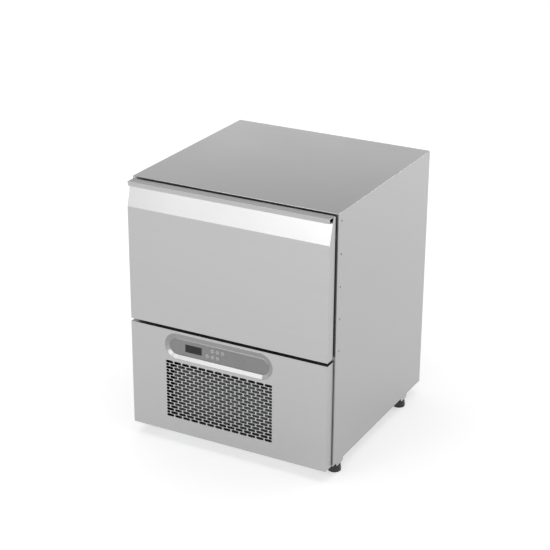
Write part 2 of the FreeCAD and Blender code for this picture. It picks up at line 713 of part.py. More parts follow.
def control_overlay():
    """Plate let into the floor of the bezel, a little proud of it, with a sloped rim."""
    foot_y = OVERLAY_Y + OVERLAY_SLOPE_DEPTH
    slope = 2 * OVERLAY_SLOPE
    face = stadium_wire(BEZEL_X, OVERLAY_Y, SEAT_Z, OVERLAY_LENGTH - slope, OVERLAY_HEIGHT - slope)
    foot = stadium_wire(BEZEL_X, foot_y, SEAT_Z, OVERLAY_LENGTH, OVERLAY_HEIGHT)
    crown = Part.makeLoft([face, foot], True, True)
    base = stadium(BEZEL_X, foot_y, BEZEL_FLOOR, SEAT_Z, OVERLAY_LENGTH, OVERLAY_HEIGHT)
    holes = [display_block(OVERLAY_Y, BEZEL_FLOOR)] + key_bores(OVERLAY_Y, BEZEL_FLOOR)
    return join([crown, base]).cut(holes)


def display_window():
    """Dark lens of the temperature display, flush with the overlay."""
    return display_block(OVERLAY_Y, OVERLAY_Y + DISPLAY_DEPTH)


def key_cap(x, z):
    """Round key that slides in the overlay, with a stem to its switch."""
    front = OVERLAY_Y - KEY_PROUD
    cap = rod(KEY_RADIUS, V(x, front, z), AXIS_Y, BEZEL_BACK - front)
    rounded = cap.makeFillet(KEY_PROUD / 2, [e for e in cap.Edges if e.CenterOfMass.y < front + TOLERANCE])
    stem = rod(KEY_STEM_RADIUS, V(x, BEZEL_BACK, z), AXIS_Y, KEY_STEM_LENGTH)
    return join([rounded, stem])


def controller_board():
    """Circuit board behind the bezel, with a switch for each key and the relays."""
    x = BEZEL_X + BOARD_X
    half_x, half_z = BOARD_LENGTH / 2, BOARD_HEIGHT / 2
    back = BOARD_Y + BOARD_THICKNESS
    pieces = [box(x - half_x, x + half_x, BOARD_Y, back, SEAT_Z - half_z, SEAT_Z + half_z)]
    switch_front = BEZEL_BACK + KEY_STEM_LENGTH + KEY_TRAVEL + RUN_CLEARANCE
    half = SWITCH_WIDTH / 2
    for _, key_x, key_z in key_places():
        pieces.append(box(key_x - half, key_x + half, switch_front, BOARD_Y, key_z - half,
                          key_z + half))
    length, depth, height = RELAY_SIZE
    first = x - RELAY_PITCH * (RELAY_COUNT - 1) / 2
    for i in range(RELAY_COUNT):
        middle = first + i * RELAY_PITCH
        pieces.append(box(middle - length / 2, middle + length / 2, back, back + depth,
                          SEAT_Z - height / 2, SEAT_Z + height / 2))
    return join(pieces)


def drawer_profile(inset):
    """Outline of the drawer front in y and z, set in from its skin by a distance."""
    slope_low = DRAWER_TOP - GRIP_HEIGHT
    slope_high = DRAWER_TOP - SHEET
    rise = slope_high - slope_low
    length = math.hypot(rise, GRIP_BACKSET)
    knee_z = slope_low - inset * (length - rise) / GRIP_BACKSET
    top_y = FRONT + GRIP_BACKSET + inset * length / rise
    return [(DRAWER_BACK, DRAWER_BOTTOM + inset), (FRONT + inset, DRAWER_BOTTOM + inset),
            (FRONT + inset, knee_z), (top_y, slope_high), (DRAWER_BACK, slope_high)]


def drawer_skin():
    """Folded outer sheet of the drawer front: face, sloped grip recess, cheeks and bottom."""
    outer = prism_x(drawer_profile(0), -FRONT_HALF, FRONT_HALF)
    inner_half = FRONT_HALF - SHEET
    return outer.cut(prism_x(drawer_profile(SHEET), -inner_half, inner_half))


def drawer_lip():
    """Grip lip along the top: a flat top and a flange that hooks down in front."""
    half = FRONT_HALF - LIP_INSET
    under = DRAWER_TOP - SHEET
    tip_z = DRAWER_TOP - LIP_DROP
    tip_y = FRONT + LIP_LEAN
    outline = [(DRAWER_BACK, under), (DRAWER_BACK, DRAWER_TOP), (FRONT, DRAWER_TOP), (tip_y, tip_z),
               (tip_y + SHEET, tip_z), (FRONT + SHEET, under)]
    return prism_x(outline, -half, half)


def plug_block(inset):
    """Raised middle of the drawer's inner panel, set in from its skin by a distance."""
    half = LINER_HALF - PLUG_CLEARANCE - inset
    return box(-half, half, DRAWER_BACK - SHEET, PLUG_BACK - inset,
               LINER_FLOOR + PLUG_CLEARANCE + inset, LINER_CEILING - PLUG_CLEARANCE - inset)


def drawer_inner_panel():
    """Inner panel of the drawer front, with a raised plug that faces the cold space."""
    half = FRONT_HALF - SHEET
    plate = box(-half, half, DRAWER_BACK - SHEET, DRAWER_BACK, DRAWER_BOTTOM + SHEET,
                DRAWER_TOP - SHEET)
    return join([plate, plug_block(0)]).cut(plug_block(SHEET))


def drawer_foam():
    """Insulation in the drawer front, between its skin and its inner panel."""
    half = FRONT_HALF - SHEET
    filled = prism_x(drawer_profile(SHEET), -half, half)
    plate = box(-half, half, DRAWER_BACK - SHEET, DRAWER_BACK, DRAWER_BOTTOM, DRAWER_TOP)
    return join([filled.cut(plate), plug_block(SHEET)])


def ring(outer_half, low, high, width, y0, y1):
    """Rectangular ring in planes of constant y; width is measured inwards."""
    block = box(-outer_half, outer_half, y0, y1, low, high)
    inner = outer_half - width
    return block.cut(box(-inner, inner, y0, y1, low + width, high - width))


def drawer_gasket():
    """Bellows gasket on the inner panel: a foot, a waist and a magnetic head."""
    half = FRONT_HALF - GASKET_INSET
    low = DRAWER_BOTTOM + GASKET_INSET
    high = DRAWER_TOP - SHEET - GASKET_INSET
    end = EDGE - RUN_CLEARANCE
    foot_end = DRAWER_BACK + GASKET_FOOT
    head_start = end - GASKET_HEAD
    waist = GASKET_WAIST
    foot = ring(half, low, high, GASKET_WIDTH, DRAWER_BACK, foot_end)
    middle = ring(half - waist, low + waist, high - waist, GASKET_WIDTH - 2 * waist, foot_end,
                  head_start)
    head = ring(half, low, high, GASKET_WIDTH, head_start, end)
    return join([foot, middle, head])


def drawer_box():
    """Box of flat sheets behind the drawer front: a slotted floor, four walls and two rims."""
    inner = BOX_HALF - SHEET
    low = BOX_FLOOR + SHEET
    floor = box(-BOX_HALF, BOX_HALF, PLUG_BACK, BOX_REAR, BOX_FLOOR, low)
    front = box(-inner, inner, PLUG_BACK, PLUG_BACK + SHEET, low, BOX_TOP)
    rear = box(-inner, inner, BOX_REAR - SHEET, BOX_REAR, low, BOX_TOP)
    side = box(inner, BOX_HALF, PLUG_BACK, BOX_REAR, low, BOX_TOP)
    rim = box(BOX_HALF, BOX_HALF + BOX_RIM, PLUG_BACK, BOX_REAR, BOX_TOP - SHEET, BOX_TOP)
    middle_y = (PLUG_BACK + BOX_REAR) / 2
    slots = []
    for i in range(BOX_SLOT_COLUMNS):
        x = (i - (BOX_SLOT_COLUMNS - 1) / 2) * BOX_SLOT_PITCH_X
        for j in range(BOX_SLOT_ROWS):
            y = middle_y + (j - (BOX_SLOT_ROWS - 1) / 2) * BOX_SLOT_PITCH_Y
            slots.append(floor_slot(x, y))
    sides = [side, mirrored(side), rim, mirrored(rim)]
    return Part.Compound([floor.cut(slots), front, rear] + sides)


def floor_slot(x, y):
    """Slot with round ends through the floor of the drawer box."""
    reach = BOX_SLOT_LENGTH / 2 - BOX_SLOT_WIDTH / 2
    radius = BOX_SLOT_WIDTH / 2
    ends = [rod(radius, V(x + side * reach, y, BOX_FLOOR), AXIS_Z, SHEET) for side in (-1, 1)]
    middle = box(x - reach, x + reach, y - radius, y + radius, BOX_FLOOR, BOX_FLOOR + SHEET)
    return join([middle] + ends)


def channel(web_x0, web_x1, tip_x, half_height):
    """Runner channel: an upright web and two flanges that reach to tip_x."""
    web = box(web_x0, web_x1, RUNNER_FRONT, BOX_REAR, RUNNER_Z - half_height, RUNNER_Z + half_height)
    x0, x1 = min(web_x0, tip_x), max(web_x1, tip_x)
    high = box(x0, x1, RUNNER_FRONT, BOX_REAR, RUNNER_Z + half_height - RUNNER_SHEET,
               RUNNER_Z + half_height)
    low = box(x0, x1, RUNNER_FRONT, BOX_REAR, RUNNER_Z - half_height,
              RUNNER_Z - half_height + RUNNER_SHEET)
    return join([web, high, low])


def right_runner():
    """Return the outer, middle and inner members of the right runner, one inside the other."""
    step = RUNNER_SHEET + RUNNER_PLAY
    outer_web = LINER_HALF - RUNNER_SHEET
    middle_web = outer_web - step
    tip = BOX_HALF + RUNNER_TIP_GAP
    half = RUNNER_HEIGHT / 2
    outer = channel(outer_web, LINER_HALF, tip, half)
    middle = channel(middle_web, middle_web + RUNNER_SHEET, tip, half - step)
    inner = channel(BOX_HALF, BOX_HALF + RUNNER_SHEET, middle_web - RUNNER_PLAY, half - 2 * step)
    return outer, middle, inner


def fan(x, y0, z, radius, depth):
    """Axial fan along Y: a bored hub and pitched blades."""
    start = V(x, y0, z)
    hub = rod(FAN_HUB_RADIUS, start, AXIS_Y, depth)
    chord = FAN_CHORD_SHARE * depth / math.sin(math.radians(FAN_PITCH))
    middle = V(x, y0 + depth / 2, z)
    root = FAN_HUB_RADIUS - FAN_ROOT_DEPTH
    blades = []
    for i in range(FAN_BLADES):
        blade = Part.makeBox(radius - root, FAN_SHEET, chord, V(root, -FAN_SHEET / 2, -chord / 2))
        blade.rotate(V(0, 0, 0), AXIS_X, FAN_PITCH - 90)
        blade.rotate(V(0, 0, 0), AXIS_Y, 360 / FAN_BLADES * i)
        blade.translate(middle)
        blades.append(blade)
    swept = rod(radius, start, AXIS_Y, depth)
    bladed = [blade.common(swept) for blade in blades]
    bore = rod(FAN_SHAFT_RADIUS + RUN_CLEARANCE, start, AXIS_Y, depth)
    return join([hub] + bladed).cut(bore)


def fan_motor(x, z, plate_y, hole_radius, fan_y0, fan_depth, radius, length):
    """Motor behind a fan, on legs that stand on the plate round the fan."""
    fan_end = fan_y0 + fan_depth
    front = fan_end + FAN_MOTOR_GAP
    body = rod(radius, V(x, front, z), AXIS_Y, length)
    shaft = rod(FAN_SHAFT_RADIUS, V(x, fan_y0, z), AXIS_Y, front - fan_y0)
    leg_circle = hole_radius + FAN_LEG_OFFSET
    arm_y = front + length / 2
    pieces = [body, shaft]
    for i in range(FAN_LEGS):
        angle = math.radians(360 / FAN_LEGS * (i + 0.5))
        outward = V(math.cos(angle), 0, math.sin(angle))
        foot = V(x, plate_y, z) + outward * leg_circle
        pieces.append(rod(FAN_LEG_RADIUS, foot, AXIS_Y, arm_y + FAN_LEG_RADIUS - plate_y))
        arm_radius = radius - FAN_ARM_ROOT
        arm_start = V(x, arm_y, z) + outward * arm_radius
        pieces.append(rod(FAN_ARM_RADIUS, arm_start, outward, leg_circle - arm_radius))
    return join(pieces)


def finned_coil(x, length, y0, depth, z0, height, rows, plate_low, plate_back):
    """Fin block between two end plates, with return bends outside the plates."""
    x0, x1 = x - length / 2, x + length / 2
    block = box(x0, x1, y0, y0 + depth, z0, z0 + height)
    right = box(x1, x1 + COIL_PLATE, y0, plate_back, plate_low, z0 + height)
    left = box(x0 - COIL_PLATE, x0, y0, plate_back, plate_low, z0 + height)
    pieces = [block, right, left]
    pitch = height / rows
    for i in range(rows - 1):
        bend = return_bend(pitch / 2)
        side = 1 if i % 2 else -1
        if side < 0:
            bend = mirrored(bend)
        plate_x = x + side * (length / 2 + COIL_PLATE)
        bend.translate(V(plate_x, y0 + depth / 2, z0 + pitch * (i + 1)))
        pieces.append(bend)
    return join(pieces)


def return_bend(radius):
    """Half ring of tube that bulges along +X, with its ends above one another."""
    bend = Part.makeTorus(radius, COIL_TUBE_RADIUS, V(0, 0, 0), AXIS_Z, 0, 360, 180)
    bend.rotate(V(0, 0, 0), AXIS_Z, -90)
    bend.rotate(V(0, 0, 0), AXIS_X, 90)
    return bend


def condenser_coil():
    """Condenser behind the grille, standing on the base pan by its end plates."""
    return finned_coil(CONDENSER_X, CONDENSER_LENGTH, CONDENSER_Y, CONDENSER_DEPTH, CONDENSER_Z,
                       CONDENSER_HEIGHT, CONDENSER_ROWS, PAN_TOP, CONDENSER_BACK)


def condenser_shroud():
    """Cowl between the condenser and its fan."""
    half = CONDENSER_LENGTH / 2
    x0, x1 = CONDENSER_X - half, CONDENSER_X + half
    z1 = CONDENSER_Z + CONDENSER_HEIGHT
    cowl = box(x0, x1, CONDENSER_BACK, SHROUD_BACK, CONDENSER_Z, z1)
    inside = box(x0 + SHEET, x1 - SHEET, CONDENSER_BACK, SHROUD_BACK - SHEET, CONDENSER_Z + SHEET,
                 z1 - SHEET)
    hole_start = V(CONDENSER_X, CONDENSER_BACK, CONDENSER_MID)
    hole = rod(CONDENSER_FAN_RADIUS + FAN_TIP_GAP, hole_start, AXIS_Y, SHROUD_DEPTH)
    return cowl.cut([inside, hole])


def condenser_fan_start():
    """Front plane of the condenser fan, which runs through the shroud's hole."""
    return SHROUD_BACK - CONDENSER_BLADE_DEPTH / 2


def evaporator_coil():
    """Evaporator on the rear wall of the cold space."""
    z0 = CHAMBER_MID - EVAPORATOR_HEIGHT / 2
    return finned_coil(0, EVAPORATOR_LENGTH, EVAPORATOR_Y, EVAPORATOR_DEPTH, z0, EVAPORATOR_HEIGHT,
                       EVAPORATOR_ROWS, z0, LINER_REAR)


def evaporator_cover():
    """Plate in front of the evaporator, with the fan's hole and a gap for return air below."""
    plate = box(-LINER_HALF, LINER_HALF, EVAPORATOR_FRONT, EVAPORATOR_FRONT + SHEET,
                LINER_FLOOR + AIR_RETURN_GAP, LINER_CEILING)
    hole = rod(EVAPORATOR_FAN_RADIUS + FAN_TIP_GAP, V(0, EVAPORATOR_FRONT, CHAMBER_MID), AXIS_Y, SHEET)
    return plate.cut(hole)


def evaporator_fan_start():
    """Front plane of the evaporator fan, just behind its cover."""
    return EVAPORATOR_FRONT + SHEET + EVAPORATOR_FAN_GAP


def temperature_probe():
    """Probe and its clip on the front of the evaporator cover."""
    z = LINER_CEILING - PROBE_FROM_CEILING
    y = EVAPORATOR_FRONT - PROBE_STAND
    bulb = rod(PROBE_RADIUS, V(PROBE_X - PROBE_LENGTH / 2, y, z), AXIS_X, PROBE_LENGTH)
    clip = box(PROBE_X - PROBE_RADIUS, PROBE_X + PROBE_RADIUS, y, EVAPORATOR_FRONT, z - PROBE_RADIUS,
               z + PROBE_RADIUS)
    return join([bulb, clip])


def compressor_body():
    """Domed steel shell of the compressor, without its plate and stubs."""
    base = V(COMPRESSOR_X, COMPRESSOR_Y, COMPRESSOR_Z + COMPRESSOR_PLATE)
    shell = rod(COMPRESSOR_RADIUS, base, AXIS_Z, COMPRESSOR_HEIGHT)
    top = base.z + COMPRESSOR_HEIGHT
    rims = [e for e in shell.Edges if e.CenterOfMass.z > top - TOLERANCE]
    return shell.makeFillet(COMPRESSOR_DOME, rims)


def grommet_places():
    """Return the corners of the compressor plate that stand on grommets."""
    half_x = COMPRESSOR_PLATE_LENGTH / 2 - GROMMET_INSET
    half_y = COMPRESSOR_PLATE_WIDTH / 2 - GROMMET_INSET
    return [(COMPRESSOR_X + i * half_x, COMPRESSOR_Y + j * half_y) for i in (-1, 1) for j in (-1, 1)]


def discharge_point():
    """End of the compressor's discharge stub, which points to the front."""
    return V(COMPRESSOR_X, COMPRESSOR_Y - COMPRESSOR_RADIUS - STUB_LENGTH, STUB_Z)


def suction_point():
    """End of the compressor's suction stub, which points to the right."""
    return V(COMPRESSOR_X + COMPRESSOR_RADIUS + STUB_LENGTH, COMPRESSOR_Y, STUB_Z)


def compressor():
    """Hermetic compressor with its mounting plate and two pipe stubs."""
    half_x, half_y = COMPRESSOR_PLATE_LENGTH / 2, COMPRESSOR_PLATE_WIDTH / 2
    plate = box(COMPRESSOR_X - half_x, COMPRESSOR_X + half_x, COMPRESSOR_Y - half_y,
                COMPRESSOR_Y + half_y, COMPRESSOR_Z, COMPRESSOR_Z + COMPRESSOR_PLATE)
    centre = V(COMPRESSOR_X, COMPRESSOR_Y, STUB_Z)
    reach = COMPRESSOR_RADIUS + STUB_LENGTH
    stubs = [rod(STUB_RADIUS, centre, AXIS_Y * -1, reach), rod(STUB_RADIUS, centre, AXIS_X, reach)]
    return join([compressor_body(), plate] + stubs)


def compressor_grommets():
    """Rubber grommets between the compressor plate and the base pan."""
    return Part.Compound([rod(GROMMET_RADIUS, V(x, y, PAN_TOP), AXIS_Z, GROMMET_HEIGHT)
                          for x, y in grommet_places()])


def terminal_box():
    """Electrical box on the left of the compressor."""
    depth, width, height = TERMINAL_BOX
    x1 = COMPRESSOR_X - COMPRESSOR_RADIUS + TERMINAL_EMBED
    x0 = COMPRESSOR_X - COMPRESSOR_RADIUS - depth
    z0 = COMPRESSOR_Z + COMPRESSOR_PLATE + TERMINAL_RISE
    block = box(x0, x1, COMPRESSOR_Y - width / 2, COMPRESSOR_Y + width / 2, z0, z0 + height)
    return block.cut(compressor_body())


def condenser_port(row):
    """Place where a pipe meets the right end plate of the condenser, at a row of tubes."""
    pitch = CONDENSER_HEIGHT / CONDENSER_ROWS
    x = CONDENSER_X + CONDENSER_LENGTH / 2 + COIL_PLATE
    return V(x, CONDENSER_Y + CONDENSER_DEPTH / 2, CONDENSER_Z + pitch * (row + 0.5))


def evaporator_port(row):
    """Place where a pipe meets the right end plate of the evaporator, at a row of tubes."""
    pitch = EVAPORATOR_HEIGHT / EVAPORATOR_ROWS
    z0 = CHAMBER_MID - EVAPORATOR_HEIGHT / 2
    x = EVAPORATOR_LENGTH / 2 + COIL_PLATE
    return V(x, EVAPORATOR_Y + EVAPORATOR_DEPTH / 2, z0 + pitch * (row + 0.5))


def drier_ends():
    """Return the lower and upper end of the filter drier."""
    low = V(CAPILLARY_X, EDGE + DRIER_FROM_FRONT, PAN_TOP + DRIER_RISE)
    return low, low + AXIS_Z * DRIER_LENGTH


def filter_drier():
    """Filter drier, upright between the liquid pipe and the capillary tube."""
    low, _ = drier_ends()
    neck = DRIER_NECK
    body = rod(DRIER_RADIUS, low + AXIS_Z * neck, AXIS_Z, DRIER_LENGTH - 2 * neck)
    tip = DRIER_TIP_RADIUS
    lower = Part.makeCone(tip, DRIER_RADIUS, neck, low, AXIS_Z)
    upper = Part.makeCone(DRIER_RADIUS, tip, neck, low + AXIS_Z * (DRIER_LENGTH - neck), AXIS_Z)
    return join([body, lower, upper])


def discharge_pipe():
    """Hot gas pipe from the compressor to the top of the condenser."""
    start = discharge_point()
    port = condenser_port(CONDENSER_ROWS - 1)
    turn_y = start.y - 3 * PIPE_BEND
    side_x = max(port.x, start.x) + 3 * PIPE_BEND
    points = [start, V(start.x, turn_y, start.z), V(side_x, turn_y, start.z),
              V(side_x, port.y, start.z), V(side_x, port.y, port.z), port]
    return tube_along(points, PIPE_RADIUS)


def liquid_pipe():
    """Liquid pipe from the bottom of the condenser to the filter drier."""
    port = condenser_port(0)
    low, _ = drier_ends()
    points = [port, V(low.x, port.y, port.z), V(low.x, low.y, port.z), low]
    return tube_along(points, PIPE_RADIUS)


def capillary_tube():
    """Thin pipe from the drier, up behind the cold liner, to the evaporator."""
    _, top = drier_ends()
    port = evaporator_port(EVAPORATOR_ROWS - 1)
    level = DIVIDER_Z - CAPILLARY_DROP
    points = [top, V(top.x, top.y, level), V(top.x, RISER_Y, level), V(top.x, RISER_Y, port.z),
              V(top.x, port.y, port.z), port]
    return tube_along(points, CAPILLARY_RADIUS)


def suction_pipe():
    """Return pipe from the evaporator, down behind the cold liner, to the compressor."""
    port = evaporator_port(0)
    end = suction_point()
    points = [port, V(SUCTION_X, port.y, port.z), V(SUCTION_X, RISER_Y, port.z),
              V(SUCTION_X, RISER_Y, end.z), V(SUCTION_X, end.y, end.z), end]
    return tube_along(points, SUCTION_RADIUS)


def drain_pipe(radius):
    """Drain from the floor of the cold space to the tray, as a solid rod of a radius."""
    low = PAN_TOP + TRAY_WALL + DRAIN_END_GAP
    return rod(radius, V(DRAIN_X, DRAIN_Y, low), AXIS_Z, LINER_FLOOR - low)


def condensate_tray():
    """Open tray on the base pan, under the drain."""
    x0, x1 = DRAIN_X - TRAY_LENGTH / 2, DRAIN_X + TRAY_LENGTH / 2
    y1 = TRAY_REAR
    y0 = y1 - TRAY_WIDTH
    top = PAN_TOP + TRAY_HEIGHT
    wall = TRAY_WALL
    inside = box(x0 + wall, x1 - wall, y0 + wall, y1 - wall, PAN_TOP + wall, top)
    return box(x0, x1, y0, y1, PAN_TOP, top).cut(inside)


def screw(place, axis):
    """Pan-headed screw, seen as its head, that stands on a place and points along an axis."""
    head = rod(SCREW_HEAD_RADIUS, place, axis, SCREW_HEAD_HEIGHT)
    top = place + axis * SCREW_HEAD_HEIGHT
    rims = [e for e in head.Edges if len(e.Vertexes) == 1 and (e.CenterOfMass - top).Length < TOLERANCE]
    return head.makeFillet(SCREW_HEAD_ROUND, rims)


def panel_screws():
    """Screws of the rear cover and of the evaporator cover, as one group."""
    screws = []
    x = INSIDE - SCREW_EDGE
    levels = (PAN_TOP + SCREW_EDGE, (PAN_TOP + DIVIDER_Z) / 2, DIVIDER_Z - SCREW_EDGE)
    for side in (-1, 1):
        for z in levels:
            screws.append(screw(V(side * x, COVER_Y, z), AXIS_Y))
        for z in (LINER_FLOOR + AIR_RETURN_GAP + SCREW_EDGE, LINER_CEILING - SCREW_EDGE):
            place = V(side * (LINER_HALF - SCREW_EDGE), EVAPORATOR_FRONT, z)
            screws.append(screw(place, AXIS_Y * -1))
    return Part.Compound(screws)


def build():
    """Return every piece by its name."""
    suction, capillary = suction_pipe(), capillary_tube()
    drain = drain_pipe(DRAIN_RADIUS)
    risers = [suction, capillary, drain]
    outer_runner, middle_runner, inner_runner = right_runner()
    fan_front = condenser_fan_start()
    cold_fan_front = evaporator_fan_start()
    pieces = {
        "top_panel": top_panel(),
        "right_side_panel": right_side_panel(),
        "left_side_panel": mirrored(right_side_panel()),
        "side_rivets": side_rivets(),
        "rear_panel": rear_panel(),
        "rear_cover": rear_cover(),
        "cable_gland": cable_gland(),
        "panel_screws": panel_screws(),
        "compartment_ceiling": compartment_ceiling().cut(risers),
        "base_pan": base_pan(),
        "cabinet_foam": cabinet_foam(risers),
        "cold_liner": cold_liner(risers),
        "breaker_frame": breaker_frame(),
        "lower_front_panel": lower_front_panel(),
        "panel_brackets": panel_brackets(),
        "control_bezel": control_bezel(),
        "control_overlay": control_overlay(),
        "display_window": display_window(),
        "controller_board": controller_board(),
        "condenser_coil": condenser_coil(),
        "condenser_shroud": condenser_shroud(),
        "condenser_fan": fan(CONDENSER_X, fan_front, CONDENSER_MID, CONDENSER_FAN_RADIUS,
                             CONDENSER_BLADE_DEPTH),
        "condenser_fan_motor": fan_motor(CONDENSER_X, CONDENSER_MID, SHROUD_BACK,
                                         CONDENSER_FAN_RADIUS + FAN_TIP_GAP, fan_front,
                                         CONDENSER_BLADE_DEPTH, CONDENSER_MOTOR_RADIUS,
                                         CONDENSER_MOTOR_LENGTH),
        "compressor": compressor(),
        "compressor_grommets": compressor_grommets(),
        "compressor_terminal_box": terminal_box(),
        "filter_drier": filter_drier(),
        "discharge_pipe": discharge_pipe(),
        "liquid_pipe": liquid_pipe(),
        "capillary_tube": capillary,
        "suction_pipe": suction,
        "condensate_tray": condensate_tray(),
        "drain_pipe": drain.cut(drain_pipe(DRAIN_RADIUS - DRAIN_WALL)),
        "evaporator_coil": evaporator_coil(),
        "evaporator_cover": evaporator_cover(),
        "evaporator_fan": fan(0, cold_fan_front, CHAMBER_MID, EVAPORATOR_FAN_RADIUS,
                              EVAPORATOR_BLADE_DEPTH),
        "evaporator_fan_motor": fan_motor(0, CHAMBER_MID, EVAPORATOR_FRONT + SHEET,
                                          EVAPORATOR_FAN_RADIUS + FAN_TIP_GAP, cold_fan_front,
                                          EVAPORATOR_BLADE_DEPTH, EVAPORATOR_MOTOR_RADIUS,
                                          EVAPORATOR_MOTOR_LENGTH),
        "temperature_probe": temperature_probe(),
        "right_runner_outer": outer_runner,
        "left_runner_outer": mirrored(outer_runner),
        "right_runner_middle": middle_runner,
        "left_runner_middle": mirrored(middle_runner),
        "right_runner_inner": inner_runner,
        "left_runner_inner": mirrored(inner_runner),
        "drawer_skin": drawer_skin(),
        "drawer_lip": drawer_lip(),
        "drawer_foam": drawer_foam(),
        "drawer_inner_panel": drawer_inner_panel(),
        "drawer_gasket": drawer_gasket(),
        "drawer_box": drawer_box(),
    }
    for name, x, z in key_places():
        pieces[name] = key_cap(x, z)
    for name, x, y in foot_places():
        pieces[f"foot_{name}"] = levelling_foot(x, y)
    return pieces


def main():
    """Write each piece to its own file."""
    os.makedirs("parts", exist_ok=True)
    for name, shape in build().items():
        shape.exportStep(f"parts/{name}.step")


main()
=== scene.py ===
"""Looks of a stainless refrigerated drawer cabinet.

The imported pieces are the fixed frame. This script dresses them with finishes and close detail, then
lights and frames them. Metres, +Z up, the front faces -Y.
"""
import logging
import math
from collections.abc import Iterable, Mapping
from dataclasses import dataclass
from enum import Enum

import bmesh
import bpy
from mathutils import Matrix, Quaternion, Vector


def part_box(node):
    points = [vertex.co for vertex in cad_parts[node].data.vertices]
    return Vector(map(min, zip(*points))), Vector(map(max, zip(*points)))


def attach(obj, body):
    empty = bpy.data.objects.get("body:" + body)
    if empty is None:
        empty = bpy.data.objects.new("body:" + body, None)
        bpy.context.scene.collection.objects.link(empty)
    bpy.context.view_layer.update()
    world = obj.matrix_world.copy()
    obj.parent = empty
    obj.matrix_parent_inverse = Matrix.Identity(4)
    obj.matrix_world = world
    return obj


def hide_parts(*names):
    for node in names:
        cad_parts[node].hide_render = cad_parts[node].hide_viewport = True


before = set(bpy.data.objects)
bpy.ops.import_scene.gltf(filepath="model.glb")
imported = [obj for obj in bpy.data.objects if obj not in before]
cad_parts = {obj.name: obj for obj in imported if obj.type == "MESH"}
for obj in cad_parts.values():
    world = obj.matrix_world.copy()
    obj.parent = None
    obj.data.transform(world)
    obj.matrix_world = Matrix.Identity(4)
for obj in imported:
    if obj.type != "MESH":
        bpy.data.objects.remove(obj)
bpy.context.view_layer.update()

log = logging.getLogger("refrigerated_drawer")

Pair = tuple[float, float]
Triple = tuple[float, float, float]
Colour = Triple
Outline = list[Pair]
Work = bmesh.types.BMesh
Piece = bpy.types.Object
Socket = bpy.types.NodeSocket
Material = bpy.types.Material
Inputs = Mapping[str | int, object]

MERGE_DISTANCE = 1e-6
FLAT_ANGLE = math.radians(0.4)
SHARP_ANGLE = math.radians(32.0)
SMOOTH_ANGLE = math.radians(38.0)
SHEET_ANGLE = math.radians(3.0)
FULL_TURN = 2 * math.pi
ROUNDING_STEPS = 2
ROUND_PROFILE = 0.5
NOISE_MIDDLE = 0.5
SMOOTH_RISE = {"interpolation_type": "SMOOTHSTEP"}


def shade(tone: Colour, factor: float) -> Colour:
    """Return a tone made lighter or darker by a factor."""
    return tuple(min(1.0, channel * factor) for channel in tone)


class NodeBench:
    """One node tree, and the one way in which nodes are added to it."""

    FAMILY = "ShaderNode"

    def __init__(self, tree: bpy.types.NodeTree) -> None:
        """Start on an empty tree."""
        self.tree = tree
        self.tree.nodes.clear()

    def node(
        self, kind: str, inputs: Inputs | None = None, settings: Inputs | None = None,
    ) -> bpy.types.Node:
        """Add a node, choose its settings, then fill its sockets.

        Args:
            kind: The node's type name, in full or as it goes on after the family's name.
            inputs: Plain values, expressions or sockets for its inputs, by name, or by place
                where names repeat.
            settings: Values of the node's own properties.

        Returns:
            The new node.
        """
        made = self.tree.nodes.new(kind if "Node" in kind else f"{self.FAMILY}{kind}")
        for key, value in (settings or {}).items():
            setattr(made, key, value)
        for key, value in (inputs or {}).items():
            named = (s for s in made.inputs if s.name == key and s.enabled)
            socket = made.inputs[key] if isinstance(key, int) else next(named)
            source = value.socket if isinstance(value, Value) else value
            if isinstance(source, Socket):
                self.tree.links.new(source, socket)
            elif socket.type == "RGBA" and len(source) == 3:
                socket.default_value = (*source, 1.0)
            else:
                socket.default_value = source
        return made

    def out(self, kind: str, inputs: Inputs, settings: Inputs | None = None) -> Socket:
        """Add a node and return its first output."""
        return self.node(kind, inputs, settings).outputs[0]


@dataclass(frozen=True)
class Value:
    """A number socket of a bench's tree that takes part in Python expressions."""

    bench: NodeBench
    socket: Socket

    def _maths(self, operation: str, first: object, second: object) -> "Value":
        """Return the result of a Math node on two operands."""
        joined = self.bench.out("Math", {0: first, 1: second}, {"operation": operation})
        return Value(self.bench, joined)

    def __add__(self, other: object) -> "Value":
        """Return self + other."""
        return self._maths("ADD", self, other)

    __radd__ = __add__

    def __sub__(self, other: object) -> "Value":
        """Return self - other."""
        return self._maths("SUBTRACT", self, other)

    def __rsub__(self, other: object) -> "Value":
        """Return other - self."""
        return self._maths("SUBTRACT", other, self)

    def __mul__(self, other: object) -> "Value":
        """Return self * other."""
        return self._maths("MULTIPLY", self, other)

    __rmul__ = __mul__

    def swing(self, amount: float) -> "Value":
        """Return how far a noise is from its middle, times an amount."""
        return (self - NOISE_MIDDLE) * amount

    def step(self, low: float, high: float) -> "Value":
        """Return 0 below one level and 1 above another, with a smooth rise between."""
        limits = {"Value": self, "From Min": low, "From Max": high}
        return Value(self.bench, self.bench.out("MapRange", limits, SMOOTH_RISE))


